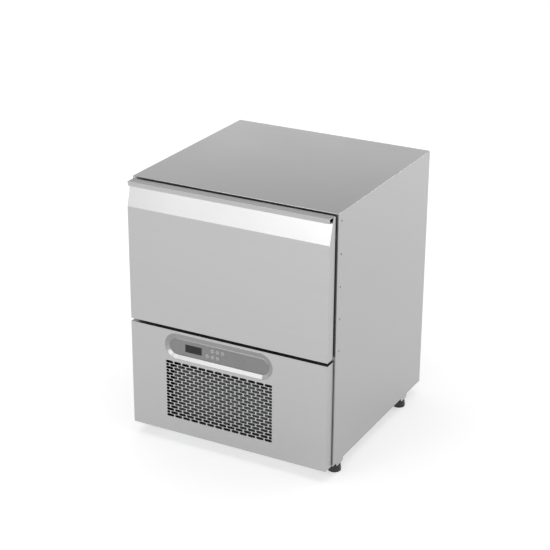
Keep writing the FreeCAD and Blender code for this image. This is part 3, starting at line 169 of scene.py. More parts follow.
class MaterialBench(NodeBench):
    """Node tree of one material, on its object's own coordinates."""

    def __init__(self, name: str) -> None:
        """Make an empty material.

        Args:
            name: The material's name.
        """
        self.material = bpy.data.materials.new(name)
        self.material.use_nodes = True
        super().__init__(self.material.node_tree)
        self.place = self.node("TexCoord").outputs["Object"]

    def noise(self, waves: float | tuple[float, ...], detail: float = 2.0) -> Value:
        """Return a noise of about 0 to 1.

        Args:
            waves: How many waves a metre holds, along every axis or along each.
            detail: How many finer layers the noise has.

        Returns:
            The noise.
        """
        scale = (waves,) * 3 if isinstance(waves, float) else waves
        mapped = self.out("Mapping", {"Vector": self.place, "Scale": scale})
        inputs = {"Vector": mapped, "Scale": 1.0, "Detail": detail}
        return Value(self, self.out("TexNoise", inputs))

    def cells(self, output: str, scale: float, feature: str = "F1") -> Value:
        """Return one output of a cell texture with so many cells in a metre."""
        made = self.node("TexVoronoi", {"Vector": self.place, "Scale": scale}, {"feature": feature})
        return Value(self, made.outputs[output])

    def along(self, axis: str) -> Value:
        """Return the coordinate along X, Y or Z."""
        split = self.node("SeparateXYZ", {"Vector": self.place})
        return Value(self, split.outputs[axis])

    def mix(self, share: object, first: object, second: object) -> Socket:
        """Return the blend of two colours by the second one's share."""
        made = self.node("Mix", {"Factor": share, "A": first, "B": second}, {"data_type": "RGBA"})
        return next(s for s in made.outputs if s.enabled)

    def shades(self, share: object, tone: Colour, ends: Pair) -> Socket:
        """Return a tone that runs from one shade of itself to another by a share."""
        return self.mix(share, shade(tone, ends[0]), shade(tone, ends[1]))

    def grey(self, level: Value) -> Socket:
        """Return the grey of a level."""
        channels = dict.fromkeys(("Red", "Green", "Blue"), level)
        return self.out("CombineColor", channels)

    def bump(self, height: Value, depth: float, strength: float) -> Socket:
        """Return normals bent by a height, of so many metres at its full range."""
        inputs = {"Height": height, "Distance": depth, "Strength": strength}
        return self.out("Bump", inputs)

    def surface(self, tone: Socket, gloss: object, more: Inputs) -> None:
        """Close the tree with one shader, by its colour, its roughness and its other inputs."""
        shader = self.out("BsdfPrincipled", {"Base Color": tone, "Roughness": gloss, **more})
        self.node("OutputMaterial", {"Surface": shader})


class Grain(Enum):
    """Direction of the fine lines in a brushed sheet."""

    ALONG_X = 0
    ALONG_Y = 1

    def stretch(self, along: float, across: float) -> tuple[float, ...]:
        """Return waves in a metre for each axis, few along the grain and many across it."""
        return tuple(along if axis == self.value else across for axis in range(3))


@dataclass(frozen=True)
class Finish:
    """A finish, made into one shared material when it is first asked for."""

    name: str
    tone: Colour
    roughness: float

    def material(self) -> Material:
        """Make or find the finish's material, under its name with _finish added.

        Returns:
            The material.
        """
        label = f"{self.name}_finish"
        if label not in bpy.data.materials:
            self.make(MaterialBench(label))
        return bpy.data.materials[label]

    def make(self, bench: MaterialBench) -> None:
        """Build the material's nodes, which each kind of finish does its own way."""
        raise NotImplementedError


@dataclass(frozen=True)
class BrushedSteel(Finish):
    """Satin stainless sheet: fine lines one way, broader streaks and faint clouds of wear."""

    grain: Grain = Grain.ALONG_X
    fine_waves: Pair = (9.0, 1400.0)
    broad_waves: Pair = (1.6, 95.0)
    cloud_waves: float = 5.0
    fine_share: float = 0.6
    contrast: float = 0.05
    swing: float = 0.12
    cloud_swing: float = 0.08
    depth: float = 2.5e-5
    relief: float = 0.35

    def make(self, bench: MaterialBench) -> None:
        """Build streaks that change tone and gloss, over a fine scratch relief.

        Args:
            bench: The material's bench.
        """
        fine = bench.noise(self.grain.stretch(*self.fine_waves), detail=3.0)
        broad = bench.noise(self.grain.stretch(*self.broad_waves))
        cloud = bench.noise(self.cloud_waves, detail=3.0)
        streak = fine * self.fine_share + broad * (1 - self.fine_share)
        tone = bench.shades(streak, self.tone, (1 - self.contrast, 1 + self.contrast))
        gloss = streak.swing(self.swing) + cloud.swing(self.cloud_swing) + self.roughness
        relief = bench.bump(fine, self.depth, self.relief)
        bench.surface(tone, gloss, {"Normal": relief, "Metallic": 1.0})


@dataclass(frozen=True)
class ZincSheet(Finish):
    """Zinc-coated sheet with a faint spangle of crystals."""

    spangle: float = 70.0
    spangle_share: float = 0.65
    film_waves: float = 14.0
    ends: Pair = (0.84, 1.12)
    swing: float = 0.22
    depth: float = 4e-5
    relief: float = 0.4

    def make(self, bench: MaterialBench) -> None:
        """Build crystals of uneven tone and gloss, dulled by a cloudy film.

        Args:
            bench: The material's bench.
        """
        crystal = bench.cells("Color", self.spangle)
        film = bench.noise(self.film_waves, detail=4.0)
        share = crystal * self.spangle_share + film * (1 - self.spangle_share)
        tone = bench.shades(share, self.tone, self.ends)
        gloss = share.swing(self.swing) + self.roughness
        relief = bench.bump(film, self.depth, self.relief)
        bench.surface(tone, gloss, {"Normal": relief, "Metallic": 1.0})


@dataclass(frozen=True)
class DrawnMetal(Finish):
    """Drawn or pressed metal with handling marks and a little tarnish."""

    tarnish: Colour = (0.3, 0.3, 0.3)
    tarnish_share: float = 0.3
    metal: float = 1.0
    cloud_waves: float = 38.0
    cloud_limits: Pair = (0.45, 0.72)
    mark_waves: float = 420.0
    dulling: float = 0.3
    swing: float = 0.16
    depth: float = 2e-5
    relief: float = 0.5

    def make(self, bench: MaterialBench) -> None:
        """Build tarnish in clouds, and fine handling marks in the gloss.

        Args:
            bench: The material's bench.
        """
        cloud = bench.noise(self.cloud_waves, detail=4.0)
        marks = bench.noise(self.mark_waves)
        dull = cloud.step(*self.cloud_limits) * self.tarnish_share
        tone = bench.mix(dull, self.tone, self.tarnish)
        gloss = dull * self.dulling + marks.swing(self.swing) + self.roughness
        relief = bench.bump(marks, self.depth, self.relief)
        bench.surface(tone, gloss, {"Normal": relief, "Metallic": self.metal})


@dataclass(frozen=True)
class Moulding(Finish):
    """Moulded or extruded plastic or rubber with a fine texture and uneven gloss."""

    texture: float = 1600.0
    depth: float = 3e-5
    metal: float = 0.0
    dust: float = 0.08
    cloud_waves: float = 22.0
    cloud_limits: Pair = (0.35, 0.75)
    swing: float = 0.14
    cloud_swing: float = 0.1
    relief: float = 0.6

    def make(self, bench: MaterialBench) -> None:
        """Build the moulded texture, and a little dust that lightens the tone in clouds.

        Args:
            bench: The material's bench.
        """
        grain = bench.noise(self.texture)
        cloud = bench.noise(self.cloud_waves, detail=3.0)
        share = cloud.step(*self.cloud_limits)
        tone = bench.shades(share, self.tone, (1 - self.dust, 1 + self.dust))
        gloss = grain.swing(self.swing) + cloud.swing(self.cloud_swing) + self.roughness
        relief = bench.bump(grain, self.depth, self.relief)
        bench.surface(tone, gloss, {"Normal": relief, "Metallic": self.metal})


@dataclass(frozen=True)
class Enamel(Finish):
    """Sprayed enamel with a slight orange peel under a clear gloss."""

    coat: float = 0.5
    coat_roughness: float = 0.2
    peel_waves: float = 260.0
    dust_waves: float = 16.0
    dust_limits: Pair = (0.4, 0.8)
    dust_share: float = 0.4
    dust_shade: float = 2.2
    dulling: float = 0.2
    depth: float = 6e-5
    relief: float = 0.5

    def make(self, bench: MaterialBench) -> None:
        """Build the peel as a relief, with dust that dulls the gloss in clouds.

        Args:
            bench: The material's bench.
        """
        peel = bench.noise(self.peel_waves)
        dust = bench.noise(self.dust_waves, detail=4.0).step(*self.dust_limits)
        tone = bench.mix(dust * self.dust_share, self.tone, shade(self.tone, self.dust_shade))
        gloss = dust * self.dulling + self.roughness
        relief = bench.bump(peel, self.depth, self.relief)
        coat = {"Coat Weight": self.coat, "Coat Roughness": self.coat_roughness}
        bench.surface(tone, gloss, {"Normal": relief, **coat})


@dataclass(frozen=True)
class RigidFoam(Finish):
    """Foamed-in insulation: small cells, and patches where the skin is denser."""

    cell: float = 420.0
    patch_waves: float = 18.0
    ends: Pair = (0.8, 1.1)
    swing: float = 0.1
    depth: float = 4e-4
    relief: float = 0.7

    def make(self, bench: MaterialBench) -> None:
        """Build the cells as a relief, with denser patches of a darker tone.

        Args:
            bench: The material's bench.
        """
        pores = bench.cells("Distance", self.cell)
        patch = bench.noise(self.patch_waves, detail=4.0)
        tone = bench.shades(patch, self.tone, self.ends)
        gloss = patch.swing(self.swing) + self.roughness
        relief = bench.bump(pores, self.depth, self.relief)
        bench.surface(tone, gloss, {"Normal": relief})


@dataclass(frozen=True)
class SmokedLens(Finish):
    """Dark glossy lens with faint smears."""

    shine: float = 0.3
    smear_waves: Triple = (60.0, 20.0, 90.0)
    ends: Pair = (0.8, 1.25)
    swing: float = 0.1

    def make(self, bench: MaterialBench) -> None:
        """Build smears in the gloss, over a tone that is a little uneven.

        Args:
            bench: The material's bench.
        """
        smear = bench.noise(self.smear_waves, detail=3.0)
        tone = bench.shades(smear, self.tone, self.ends)
        gloss = smear.swing(self.swing) + self.roughness
        bench.surface(tone, gloss, {"Specular IOR Level": self.shine})


@dataclass(frozen=True)
class CircuitBoard(Finish):
    """Green board with copper tracks under its mask, and dark relays behind it."""

    board_back: float = 0.0
    relay: Colour = (0.02, 0.03, 0.06)
    relay_limits: Pair = (2e-4, 4e-4)
    track_cells: float = 150.0
    track_limits: Pair = (0.03, 0.06)
    track_share: float = 0.6
    track_shade: float = 1.9
    cloud_waves: float = 40.0
    swing: float = 0.12
    depth: float = 4e-5
    relief: float = 0.5

    def make(self, bench: MaterialBench) -> None:
        """Build the tracks from cell edges, and the relays from how far back they stand.

        Args:
            bench: The material's bench.
        """
        edge = bench.cells("Distance", self.track_cells, "DISTANCE_TO_EDGE")
        track = 1.0 - edge.step(*self.track_limits)
        cloud = bench.noise(self.cloud_waves)
        mask = bench.mix(track * self.track_share, self.tone, shade(self.tone, self.track_shade))
        behind = bench.along("Y").step(*(self.board_back + limit for limit in self.relay_limits))
        tone = bench.mix(behind, mask, self.relay)
        gloss = cloud.swing(self.swing) + self.roughness
        relief = bench.bump(track, self.depth, self.relief)
        bench.surface(tone, gloss, {"Normal": relief})


STEEL_TONE = (0.455, 0.455, 0.456)
# The side sheets are the front's steel made darker by this factor: painted shade on the sides.
SIDE_PAINTED_SHADE = 0.94
FRONT_STEEL = BrushedSteel("front_steel", STEEL_TONE, 0.34)
SIDE_STEEL = BrushedSteel("side_steel", shade(STEEL_TONE, SIDE_PAINTED_SHADE), 0.33, grain=Grain.ALONG_Y)
TOP_STEEL = BrushedSteel("top_steel", STEEL_TONE, 0.23, depth=1.2e-5)
LINER_STEEL = BrushedSteel("liner_steel", (0.60, 0.603, 0.61), 0.34, grain=Grain.ALONG_Y)
ZINC = ZincSheet("zinc_sheet", (0.50, 0.51, 0.525), 0.42)
RUNNER_STEEL = DrawnMetal("runner_steel", (0.55, 0.55, 0.56), 0.28, tarnish=(0.32, 0.30, 0.27))
# The rivet steel is darker than the other steel: painted shade for the dark spots at the rivet holes
# and under the heads.
RIVET_STEEL_SHADED = DrawnMetal("rivet_steel", (0.24, 0.24, 0.242), 0.45, tarnish=(0.15, 0.15, 0.15))
SCREW_STEEL = DrawnMetal("screw_steel", (0.56, 0.56, 0.55), 0.3, tarnish=(0.4, 0.38, 0.3))
FIN_METAL = DrawnMetal("fin_aluminium", (0.42, 0.425, 0.43), 0.5, tarnish=(0.26, 0.26, 0.25), metal=0.3)
COPPER = DrawnMetal(
    "copper_pipe", (0.72, 0.40, 0.26), 0.26, tarnish=(0.28, 0.13, 0.07), tarnish_share=0.55,
)
BEZEL_SILVER = Moulding(
    "bezel_silver", (0.305, 0.305, 0.308), 0.15, texture=900.0, depth=3e-6, metal=0.95, dust=0.03,
)
OVERLAY_FILM = Moulding(
    "overlay_film", (0.225, 0.225, 0.228), 0.30, texture=1800.0, depth=6e-6, metal=0.85, dust=0.03,
)
KEY_CAP = Moulding("key_cap", (0.47, 0.47, 0.475), 0.42, texture=1500.0, depth=1.5e-5, dust=0.04)
KEY_INK = Moulding("key_mark", (0.16, 0.16, 0.165), 0.5, texture=1500.0, depth=1e-5)
# Dark plastic, made darker than its own grey as painted shade in the gap around the drawer front.
FRAME_PLASTIC = Moulding("frame_plastic", (0.078, 0.078, 0.080), 0.5)
FOOT_NYLON = Moulding("foot_nylon", (0.026, 0.026, 0.028), 0.48, texture=900.0, depth=5e-5, dust=0.2)
GLAND_NYLON = Moulding("gland_nylon", (0.035, 0.035, 0.036), 0.46)
FAN_PLASTIC = Moulding("fan_plastic", (0.03, 0.03, 0.031), 0.42, texture=1200.0, dust=0.2)
TERMINAL_PLASTIC = Moulding("terminal_plastic", (0.06, 0.06, 0.063), 0.5)
TRAY_PLASTIC = Moulding("tray_plastic", (0.05, 0.05, 0.052), 0.5)
PROBE_PLASTIC = Moulding("probe_plastic", (0.08, 0.08, 0.083), 0.45)
GROMMET_RUBBER = Moulding("grommet_rubber", (0.03, 0.03, 0.03), 0.75, texture=700.0, depth=6e-5)
# Dark rubber, made darker than its own grey as painted shade in the gap around the drawer front.
GASKET_RUBBER = Moulding("gasket_rubber", (0.078, 0.078, 0.080), 0.66, texture=900.0, depth=5e-5)
MOTOR_ENAMEL = Enamel("motor_enamel", (0.10, 0.10, 0.11), 0.42, coat=0.2)
COMPRESSOR_ENAMEL = Enamel("compressor_enamel", (0.016, 0.016, 0.018), 0.34)
FOAM = RigidFoam("rigid_foam", (0.74, 0.62, 0.36), 0.85)
LENS = SmokedLens("smoked_lens", (0.016, 0.016, 0.017), 0.18)


def link_work(name: str, work: Work, smooth: float = SMOOTH_ANGLE) -> Piece:
    """Turn mesh work into a linked object with shading split at sharp edges.

    Args:
        name: The new piece's name.
        work: The finished mesh work, which is freed.
        smooth: The angle above which an edge is sharp.

    Returns:
        The new object.
    """
    bmesh.ops.recalc_face_normals(work, faces=work.faces)
    mesh = bpy.data.meshes.new(name)
    work.to_mesh(mesh)
    work.free()
    return link_mesh(name, mesh, smooth)


def link_mesh(name: str, mesh: bpy.types.Mesh, smooth: float = SMOOTH_ANGLE) -> Piece:
    """Link a mesh as an object, smooth except at its sharp edges.

    Args:
        name: The new piece's name.
        mesh: Its mesh.
        smooth: The angle above which an edge is sharp.

    Returns:
        The new object.
    """
    mesh.shade_smooth()
    mesh.set_sharp_from_angle(angle=smooth)
    piece = bpy.data.objects.new(name, mesh)
    bpy.context.scene.collection.objects.link(piece)
    return piece


def clean_copy(node: str) -> Work:
    """Copy a node's mesh, with its loose triangles merged into whole faces.

    Args:
        node: The node to copy.

    Returns:
        The mesh work.
    """
    work = bmesh.new()
    work.from_mesh(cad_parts[node].data)
    bmesh.ops.remove_doubles(work, verts=work.verts, dist=MERGE_DISTANCE)
    bmesh.ops.dissolve_limit(work, angle_limit=FLAT_ANGLE, verts=work.verts, edges=work.edges)
    return work


def rounded_copy(node: str, name: str, width: float, smooth: float) -> Piece:
    """Copy a node and round its sharp edges.

    Args:
        node: The node to copy.
        name: The new piece's name.
        width: How far the rounding reaches from each edge.
        smooth: The angle above which an edge stays sharp in the shading.

    Returns:
        The new object.
    """
    work = clean_copy(node)
    edges = [e for e in work.edges if len(e.link_faces) == 2 and e.calc_face_angle() > SHARP_ANGLE]
    bmesh.ops.bevel(
        work, geom=edges, offset=width, offset_type="OFFSET", segments=ROUNDING_STEPS,
        profile=ROUND_PROFILE, affect="EDGES", clamp_overlap=True,
    )
    return link_work(name, work, smooth)


def islands(node: str) -> list[tuple[Vector, Vector]]:
    """Find the separate solids in a node.

    Args:
        node: The node to look into.

    Returns:
        The lowest and highest corner of each solid.
    """
    work = clean_copy(node)
    left = set(work.verts)
    found = []
    while left:
        queue = [left.pop()]
        corners = []
        while queue:
            vertex = queue.pop()
            corners.append(vertex.co.copy())
            near = {edge.other_vert(vertex) for edge in vertex.link_edges} & left
            left -= near
            queue.extend(near)
        found.append(tuple(Vector(tuple(map(end, *corners))) for end in (min, max)))
    work.free()
    return found


def add_block(work: Work, low: Vector, high: Vector) -> None:
    """Add a box between two corners to mesh work."""
    place = Matrix.Translation((low + high) / 2) @ Matrix.Diagonal((*(high - low), 1.0))
    bmesh.ops.create_cube(work, size=1.0, matrix=place)


def add_plate(work: Work, outline: Outline, front: float, back: float) -> None:
    """Add an upright plate to mesh work.

    Args:
        work: The mesh work.
        outline: Corners in x and z.
        front: The plate's front plane, in y.
        back: The plate's back plane, in y.
    """
    near = [work.verts.new((x, front, z)) for x, z in outline]
    far = [work.verts.new((x, back, z)) for x, z in outline]
    work.faces.new(near)
    work.faces.new(far[::-1])
    for i, corner in enumerate(near):
        work.faces.new((near[i - 1], far[i - 1], far[i], corner))


def fit(piece: Piece, body: str, finish: Finish, nodes: Iterable[str] = ()) -> None:
    """Put a new piece on its body, in its finish, in place of nodes.

    Args:
        piece: The piece, at its place in the frame.
        body: The body that it moves with.
        finish: Its finish.
        nodes: The nodes that it stands for.
    """
    piece.data.materials.clear()
    piece.data.materials.append(finish.material())
    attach(piece, body)
    if nodes:
        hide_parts(*nodes)
    log.info("%s: %d faces on %s", piece.name, len(piece.data.polygons), body)


def paint(finish: Finish, *nodes: str) -> None:
    """Give nodes that keep their shape a finish.

    Args:
        finish: The finish.
        nodes: The nodes' names.
    """
    for node in nodes:
        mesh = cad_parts[node].data
        mesh.materials.clear()
        mesh.materials.append(finish.material())
        log.info("%s keeps its shape, in %s", node, finish.name)


class GeometryBench(NodeBench):
    """A geometry node tree with named inputs, which makes shapes that repeat."""

    FAMILY = "GeometryNode"
    KINDS = {int: "Int", float: "Float", tuple: "Vector", Material: "Material"}

    def __init__(self, name: str) -> None:
        """Make an empty tree that takes and gives geometry.

        Args:
            name: The tree's name.
        """
        super().__init__(bpy.data.node_groups.new(name, "GeometryNodeTree"))
        for way in ("INPUT", "OUTPUT"):
            self.tree.interface.new_socket("Geometry", in_out=way, socket_type="NodeSocketGeometry")
        self.start = self.node("NodeGroupInput")
        self.values: dict[str, object] = {}

    def size(self, name: str, value: object) -> Socket:
        """Add a named input and remember its value.

        Args:
            name: The input's name.
            value: A whole number, a number, a vector or a material.

        Returns:
            The input's socket inside the tree.
        """
        kind = f"NodeSocket{self.KINDS[type(value)]}"
        item = self.tree.interface.new_socket(name, in_out="INPUT", socket_type=kind)
        self.values[item.identifier] = value
        return self.start.outputs[name]

    def repeat(self, points: Socket, shape: Socket, turn: object, finish: Finish) -> None:
        """Close the tree: put a shape on each point, make it real and give it its material.

        Args:
            points: Where the copies go.
            shape: What is copied.
            turn: How each copy is turned.
            finish: The copies' finish.
        """
        placed = {"Points": points, "Instance": shape, "Rotation": turn}
        copies = self.out("InstanceOnPoints", placed)
        real = self.out("RealizeInstances", {"Geometry": copies})
        painted = {"Geometry": real, "Material": self.size("Finish", finish.material())}
        closed = self.out("SetMaterial", painted)
        self.node("NodeGroupOutput", {"Geometry": closed})

    def bake(self, name: str, carrier: bpy.types.Mesh) -> Piece:
        """Run the tree on a carrier mesh and keep its result as a plain piece.

        Args:
            name: The new piece's name.
            carrier: The mesh that the tree takes in.

        Returns:
            The new object.
        """
        holder = bpy.data.objects.new(f"{name}_carrier", carrier)
        bpy.context.scene.collection.objects.link(holder)
        modifier = holder.modifiers.new("Repeat", "NODES")
        modifier.node_group = self.tree
        for identifier, value in self.values.items():
            modifier[identifier] = value
        graph = bpy.context.evaluated_depsgraph_get()
        mesh = bpy.data.meshes.new_from_object(holder.evaluated_get(graph), depsgraph=graph)
        bpy.data.objects.remove(holder)
        mesh.name = name
        return link_mesh(name, mesh)


class Recess(Enum):
    """What is sunk into the head of a fastener."""

    ROUND = "round"
    CROSS = "cross"


@dataclass
class Fasteners:
    """Heads of one kind of rivet or screw, set on the places of a node's solids."""

    node: str
    radius: float
    top_radius: float
    height: float
    recess: Recess
    recess_size: float
    recess_depth: float
    sides: int = 24
    recess_sides: int = 14
    cross_ratio: float = 2.5

    def places(self) -> bpy.types.Mesh:
        """Mark the foot of each head. Rivets face out of the sides, screws to the front or back.

        Returns:
            A mesh of one point for each head, with the way it faces.
        """
        cover_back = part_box("evaporator_cover")[1].y
        spots = []
        for low, high in islands(self.node):
            middle = (low + high) / 2
            if self.recess is Recess.ROUND:
                out = Vector((math.copysign(1.0, middle.x), 0.0, 0.0))
            else:
                out = Vector((0.0, 1.0 if middle.y > cover_back else -1.0, 0.0))
            reach = abs((high - low).dot(out)) / 2 - self.height
            spots.append((middle + out * reach, out))
        mesh = bpy.data.meshes.new(f"{self.node}_places")
        mesh.from_pydata([spot for spot, _ in spots], [], [])
        ways = mesh.attributes.new("facing", "FLOAT_VECTOR", "POINT")
        for item, (_, out) in zip(ways.data, spots):
            item.vector = out
        return mesh

    def tools(self, bench: GeometryBench) -> list[Socket]:
        """Make the shapes that are cut out of the head's top.

        Args:
            bench: The heads' tree.

        Returns:
            The geometry of each shape.
        """
        size, deep = self.recess_size, self.recess_depth * 2
        if self.recess is Recess.ROUND:
            bore = {"Vertices": self.recess_sides, "Radius": bench.size("Recess", size), "Depth": deep}
            shapes = [bench.out("MeshCylinder", bore)]
        else:
            thin = size / self.cross_ratio
            arms = {"Level Arm": (2 * size, thin, deep), "Upright Arm": (thin, 2 * size, deep)}
            spans = [bench.size(arm, span) for arm, span in arms.items()]
            shapes = [bench.out("MeshCube", {"Size": span}) for span in spans]
        lift = (0.0, 0.0, self.height)
        moves = [{"Geometry": shape, "Translation": lift} for shape in shapes]
        return [bench.out("Transform", move) for move in moves]

    def build(self, name: str, slot: str, finish: Finish) -> None:
        """Make all heads as one piece in place of the node.

        Args:
            name: The new piece's name.
            slot: The record's material slot; not used.
            finish: The heads' finish.
        """
        bench = GeometryBench(f"{name}_recipe")
        cone = {
            "Vertices": self.sides,
            "Radius Bottom": bench.size("Radius", self.radius),
            "Radius Top": bench.size("Top Radius", self.top_radius),
            "Depth": bench.size("Height", self.height),
        }
        head = bench.out("MeshCone", cone)
        for tool in self.tools(bench):
            meshes = {"Mesh 1": head, "Mesh 2": tool}
            head = bench.out("MeshBoolean", meshes, {"operation": "DIFFERENCE"})
        vector = {"data_type": "FLOAT_VECTOR"}
        way = bench.out("InputNamedAttribute", {"Name": "facing"}, vector)
        turn = bench.out("FunctionNodeAlignRotationToVector", {"Vector": way}, {"axis": "Z"})
        bench.repeat(bench.start.outputs["Geometry"], head, turn, finish)
        fit(bench.bake(name, self.places()), "cabinet", finish, (self.node,))


@dataclass
class FinnedCoil:
    """A coil of fins on copper tube, in place of a plain block."""

    node: str
    height: float
    rows: int
    depth: float
    pitch: float = 0.0024
    fin_sheet: float = 0.0003
    plate_sheet: float = 0.002
    plate_edge: float = 3e-4
    tube_radius: float = 0.004
    tube_sides: int = 12
    bend_steps: int = 12

    def __post_init__(self) -> None:
        """Work out the fins' block from the node's box."""
        low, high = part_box(self.node)
        self.row_pitch = self.height / self.rows
        reach = self.row_pitch / 2 + self.tube_radius + self.plate_sheet
        self.low = Vector((low.x + reach, low.y, high.z - self.height))
        self.high = Vector((high.x - reach, low.y + self.depth, high.z))
        self.plate_low, self.plate_back = low.z, high.y
        self.middle = (self.low.y + self.high.y) / 2

    def row(self, index: int) -> float:
        """Return the height of a tube row."""
        return self.low.z + (index + 0.5) * self.row_pitch

    def fins(self) -> None:
        """Make the fins as one piece."""
        bench = GeometryBench(f"{self.node}_fins_recipe")
        count = int((self.high.x - self.low.x) / self.pitch)
        first = Vector((self.low.x + self.pitch / 2, self.middle, (self.low.z + self.high.z) / 2))
        span = {"Count": bench.size("Count", count), "Start Location": bench.size("First", first[:])}
        span["Offset"] = bench.size("Step", (self.pitch, 0.0, 0.0))
        line = bench.out("MeshLine", span, {"mode": "OFFSET"})
        size = bench.size("Fin", (self.fin_sheet, self.depth, self.height))
        fin = bench.out("MeshCube", {"Size": size})
        bench.repeat(line, fin, (0.0, 0.0, 0.0), FIN_METAL)
        piece = bench.bake(f"{self.node}_fins", bpy.data.meshes.new(f"{self.node}_fins_start"))
        fit(piece, "cabinet", FIN_METAL, (self.node,))

    def tubes(self) -> None:
        """Make the straight tubes and the bends between them as one piece."""
        work = bmesh.new()
        left, right = self.low.x - self.plate_sheet, self.high.x + self.plate_sheet
        for index in range(self.rows):
            ends = [Vector((x, self.middle, self.row(index))) for x in (left, right)]
            self.sweep(work, ends, [Vector((1.0, 0.0, 0.0))] * 2)
        for index in range(self.rows - 1):
            side = 1 if index % 2 else -1
            edge = right if side > 0 else left
            self.bend(work, edge, side, self.row(index) + self.row_pitch / 2)
        piece = link_work(f"{self.node}_tubes", work)
        fit(piece, "cabinet", COPPER, (self.node,))

    def bend(self, work: Work, edge: float, side: int, level: float) -> None:
        """Add a half-round return bend outside an end plate.

        Args:
            work: The mesh work.
            edge: Where the bend starts, in x.
            side: 1 on the right and -1 on the left.
            level: The height of the bend's middle.
        """
        radius, steps = self.row_pitch / 2, self.bend_steps
        turns = [math.pi * i / steps - math.pi / 2 for i in range(steps + 1)]
        path = [Vector((edge + side * radius * math.cos(t), self.middle, level + radius * math.sin(t)))
                for t in turns]
        ways = [Vector((-side * math.sin(t), 0.0, math.cos(t))) for t in turns]
        self.sweep(work, path, ways)

    def sweep(self, work: Work, path: list[Vector], ways: list[Vector]) -> None:
        """Add a closed round tube along points in a plane of constant y.

        Args:
            work: The mesh work.
            path: The tube's middle line.
            ways: The line's direction at each point.
        """
        sides = self.tube_sides
        across = Vector((0.0, 1.0, 0.0))
        angles = [FULL_TURN * i / sides for i in range(sides)]
        rings = []
        for spot, way in zip(path, ways):
            up = way.cross(across).normalized()
            rim = [across * math.cos(a) + up * math.sin(a) for a in angles]
            rings.append([work.verts.new(spot + out * self.tube_radius) for out in rim])
        for near, far in zip(rings, rings[1:]):
            for i in range(sides):
                work.faces.new((near[i - 1], near[i], far[i], far[i - 1]))
        work.faces.new(rings[0])
        work.faces.new(rings[-1][::-1])

    def plates(self) -> None:
        """Make the two end plates as one piece."""
        work = bmesh.new()
        sheet = self.plate_sheet
        for near, far in ((self.low.x - sheet, self.low.x), (self.high.x, self.high.x + sheet)):
            low = Vector((near, self.low.y, self.plate_low))
            add_block(work, low, Vector((far, self.plate_back, self.high.z)))
        bmesh.ops.bevel(work, geom=list(work.edges), offset=self.plate_edge, segments=1, affect="EDGES")
        piece = link_work(f"{self.node}_plates", work)
        fit(piece, "cabinet", ZINC, (self.node,))

    def build(self) -> None:
        """Make the fins, tubes and plates in place of the node."""
        self.fins()
        self.tubes()
        self.plates()


@dataclass
class Carcass:
    """Outer sheets, insulation and liner, with the rivets and screws."""

    side_edge: float = 0.0004
    top_edge: float = 0.0011

    def build(self) -> None:
        """Dress the carcass."""
        sheets = {
            "top_panel": (TOP_STEEL, self.top_edge),
            "right_side_panel": (SIDE_STEEL, self.side_edge),
            "left_side_panel": (SIDE_STEEL, self.side_edge),
        }
        for node, (finish, edge) in sheets.items():
            sheet = rounded_copy(node, f"{node}_sheet", edge, SHEET_ANGLE)
            fit(sheet, "cabinet", finish, (node,))
        rivets = Fasteners(
            "side_rivets", radius=0.0032, top_radius=0.0020, height=0.0008,
            recess=Recess.ROUND, recess_size=0.0012, recess_depth=0.0005,
        )
        rivets.build("rivet_heads", "rivet_steel", RIVET_STEEL_SHADED)
        screws = Fasteners(
            "panel_screws", radius=0.0045, top_radius=0.0036, height=0.0024,
            recess=Recess.CROSS, recess_size=0.0022, recess_depth=0.0013,
        )
        screws.build("screw_heads", "screw_steel", SCREW_STEEL)
        paint(ZINC, "rear_panel", "rear_cover", "compartment_ceiling", "base_pan", "panel_brackets")
        paint(LINER_STEEL, "cold_liner")
        paint(FOAM, "cabinet_foam")
        paint(FRAME_PLASTIC, "breaker_frame")
        paint(GLAND_NYLON, "cable_gland")


@dataclass
class DrawerUnit:
    """The drawer: its front with the grip lip, its box, gasket and runners."""

    edge: float = 0.0005

    def build(self) -> None:
        """Dress the drawer and its runners."""
        for node in ("drawer_skin", "drawer_lip"):
            sheet = rounded_copy(node, f"{node}_sheet", self.edge, SHEET_ANGLE)
            fit(sheet, "drawer", FRONT_STEEL, (node,))
        paint(LINER_STEEL, "drawer_inner_panel", "drawer_box")
        paint(FOAM, "drawer_foam")
        paint(GASKET_RUBBER, "drawer_gasket")
        for side in ("left", "right"):
            members = [f"{side}_runner_{member}" for member in ("outer", "middle", "inner")]
            paint(RUNNER_STEEL, *members)


class Mark(Enum):
    """Plain signs on the keys."""

    UP = "key_up"
    DOWN = "key_down"
    LIGHT = "key_light"
    DEFROST = "key_defrost"
    SET = "key_set"
    POWER = "key_power"


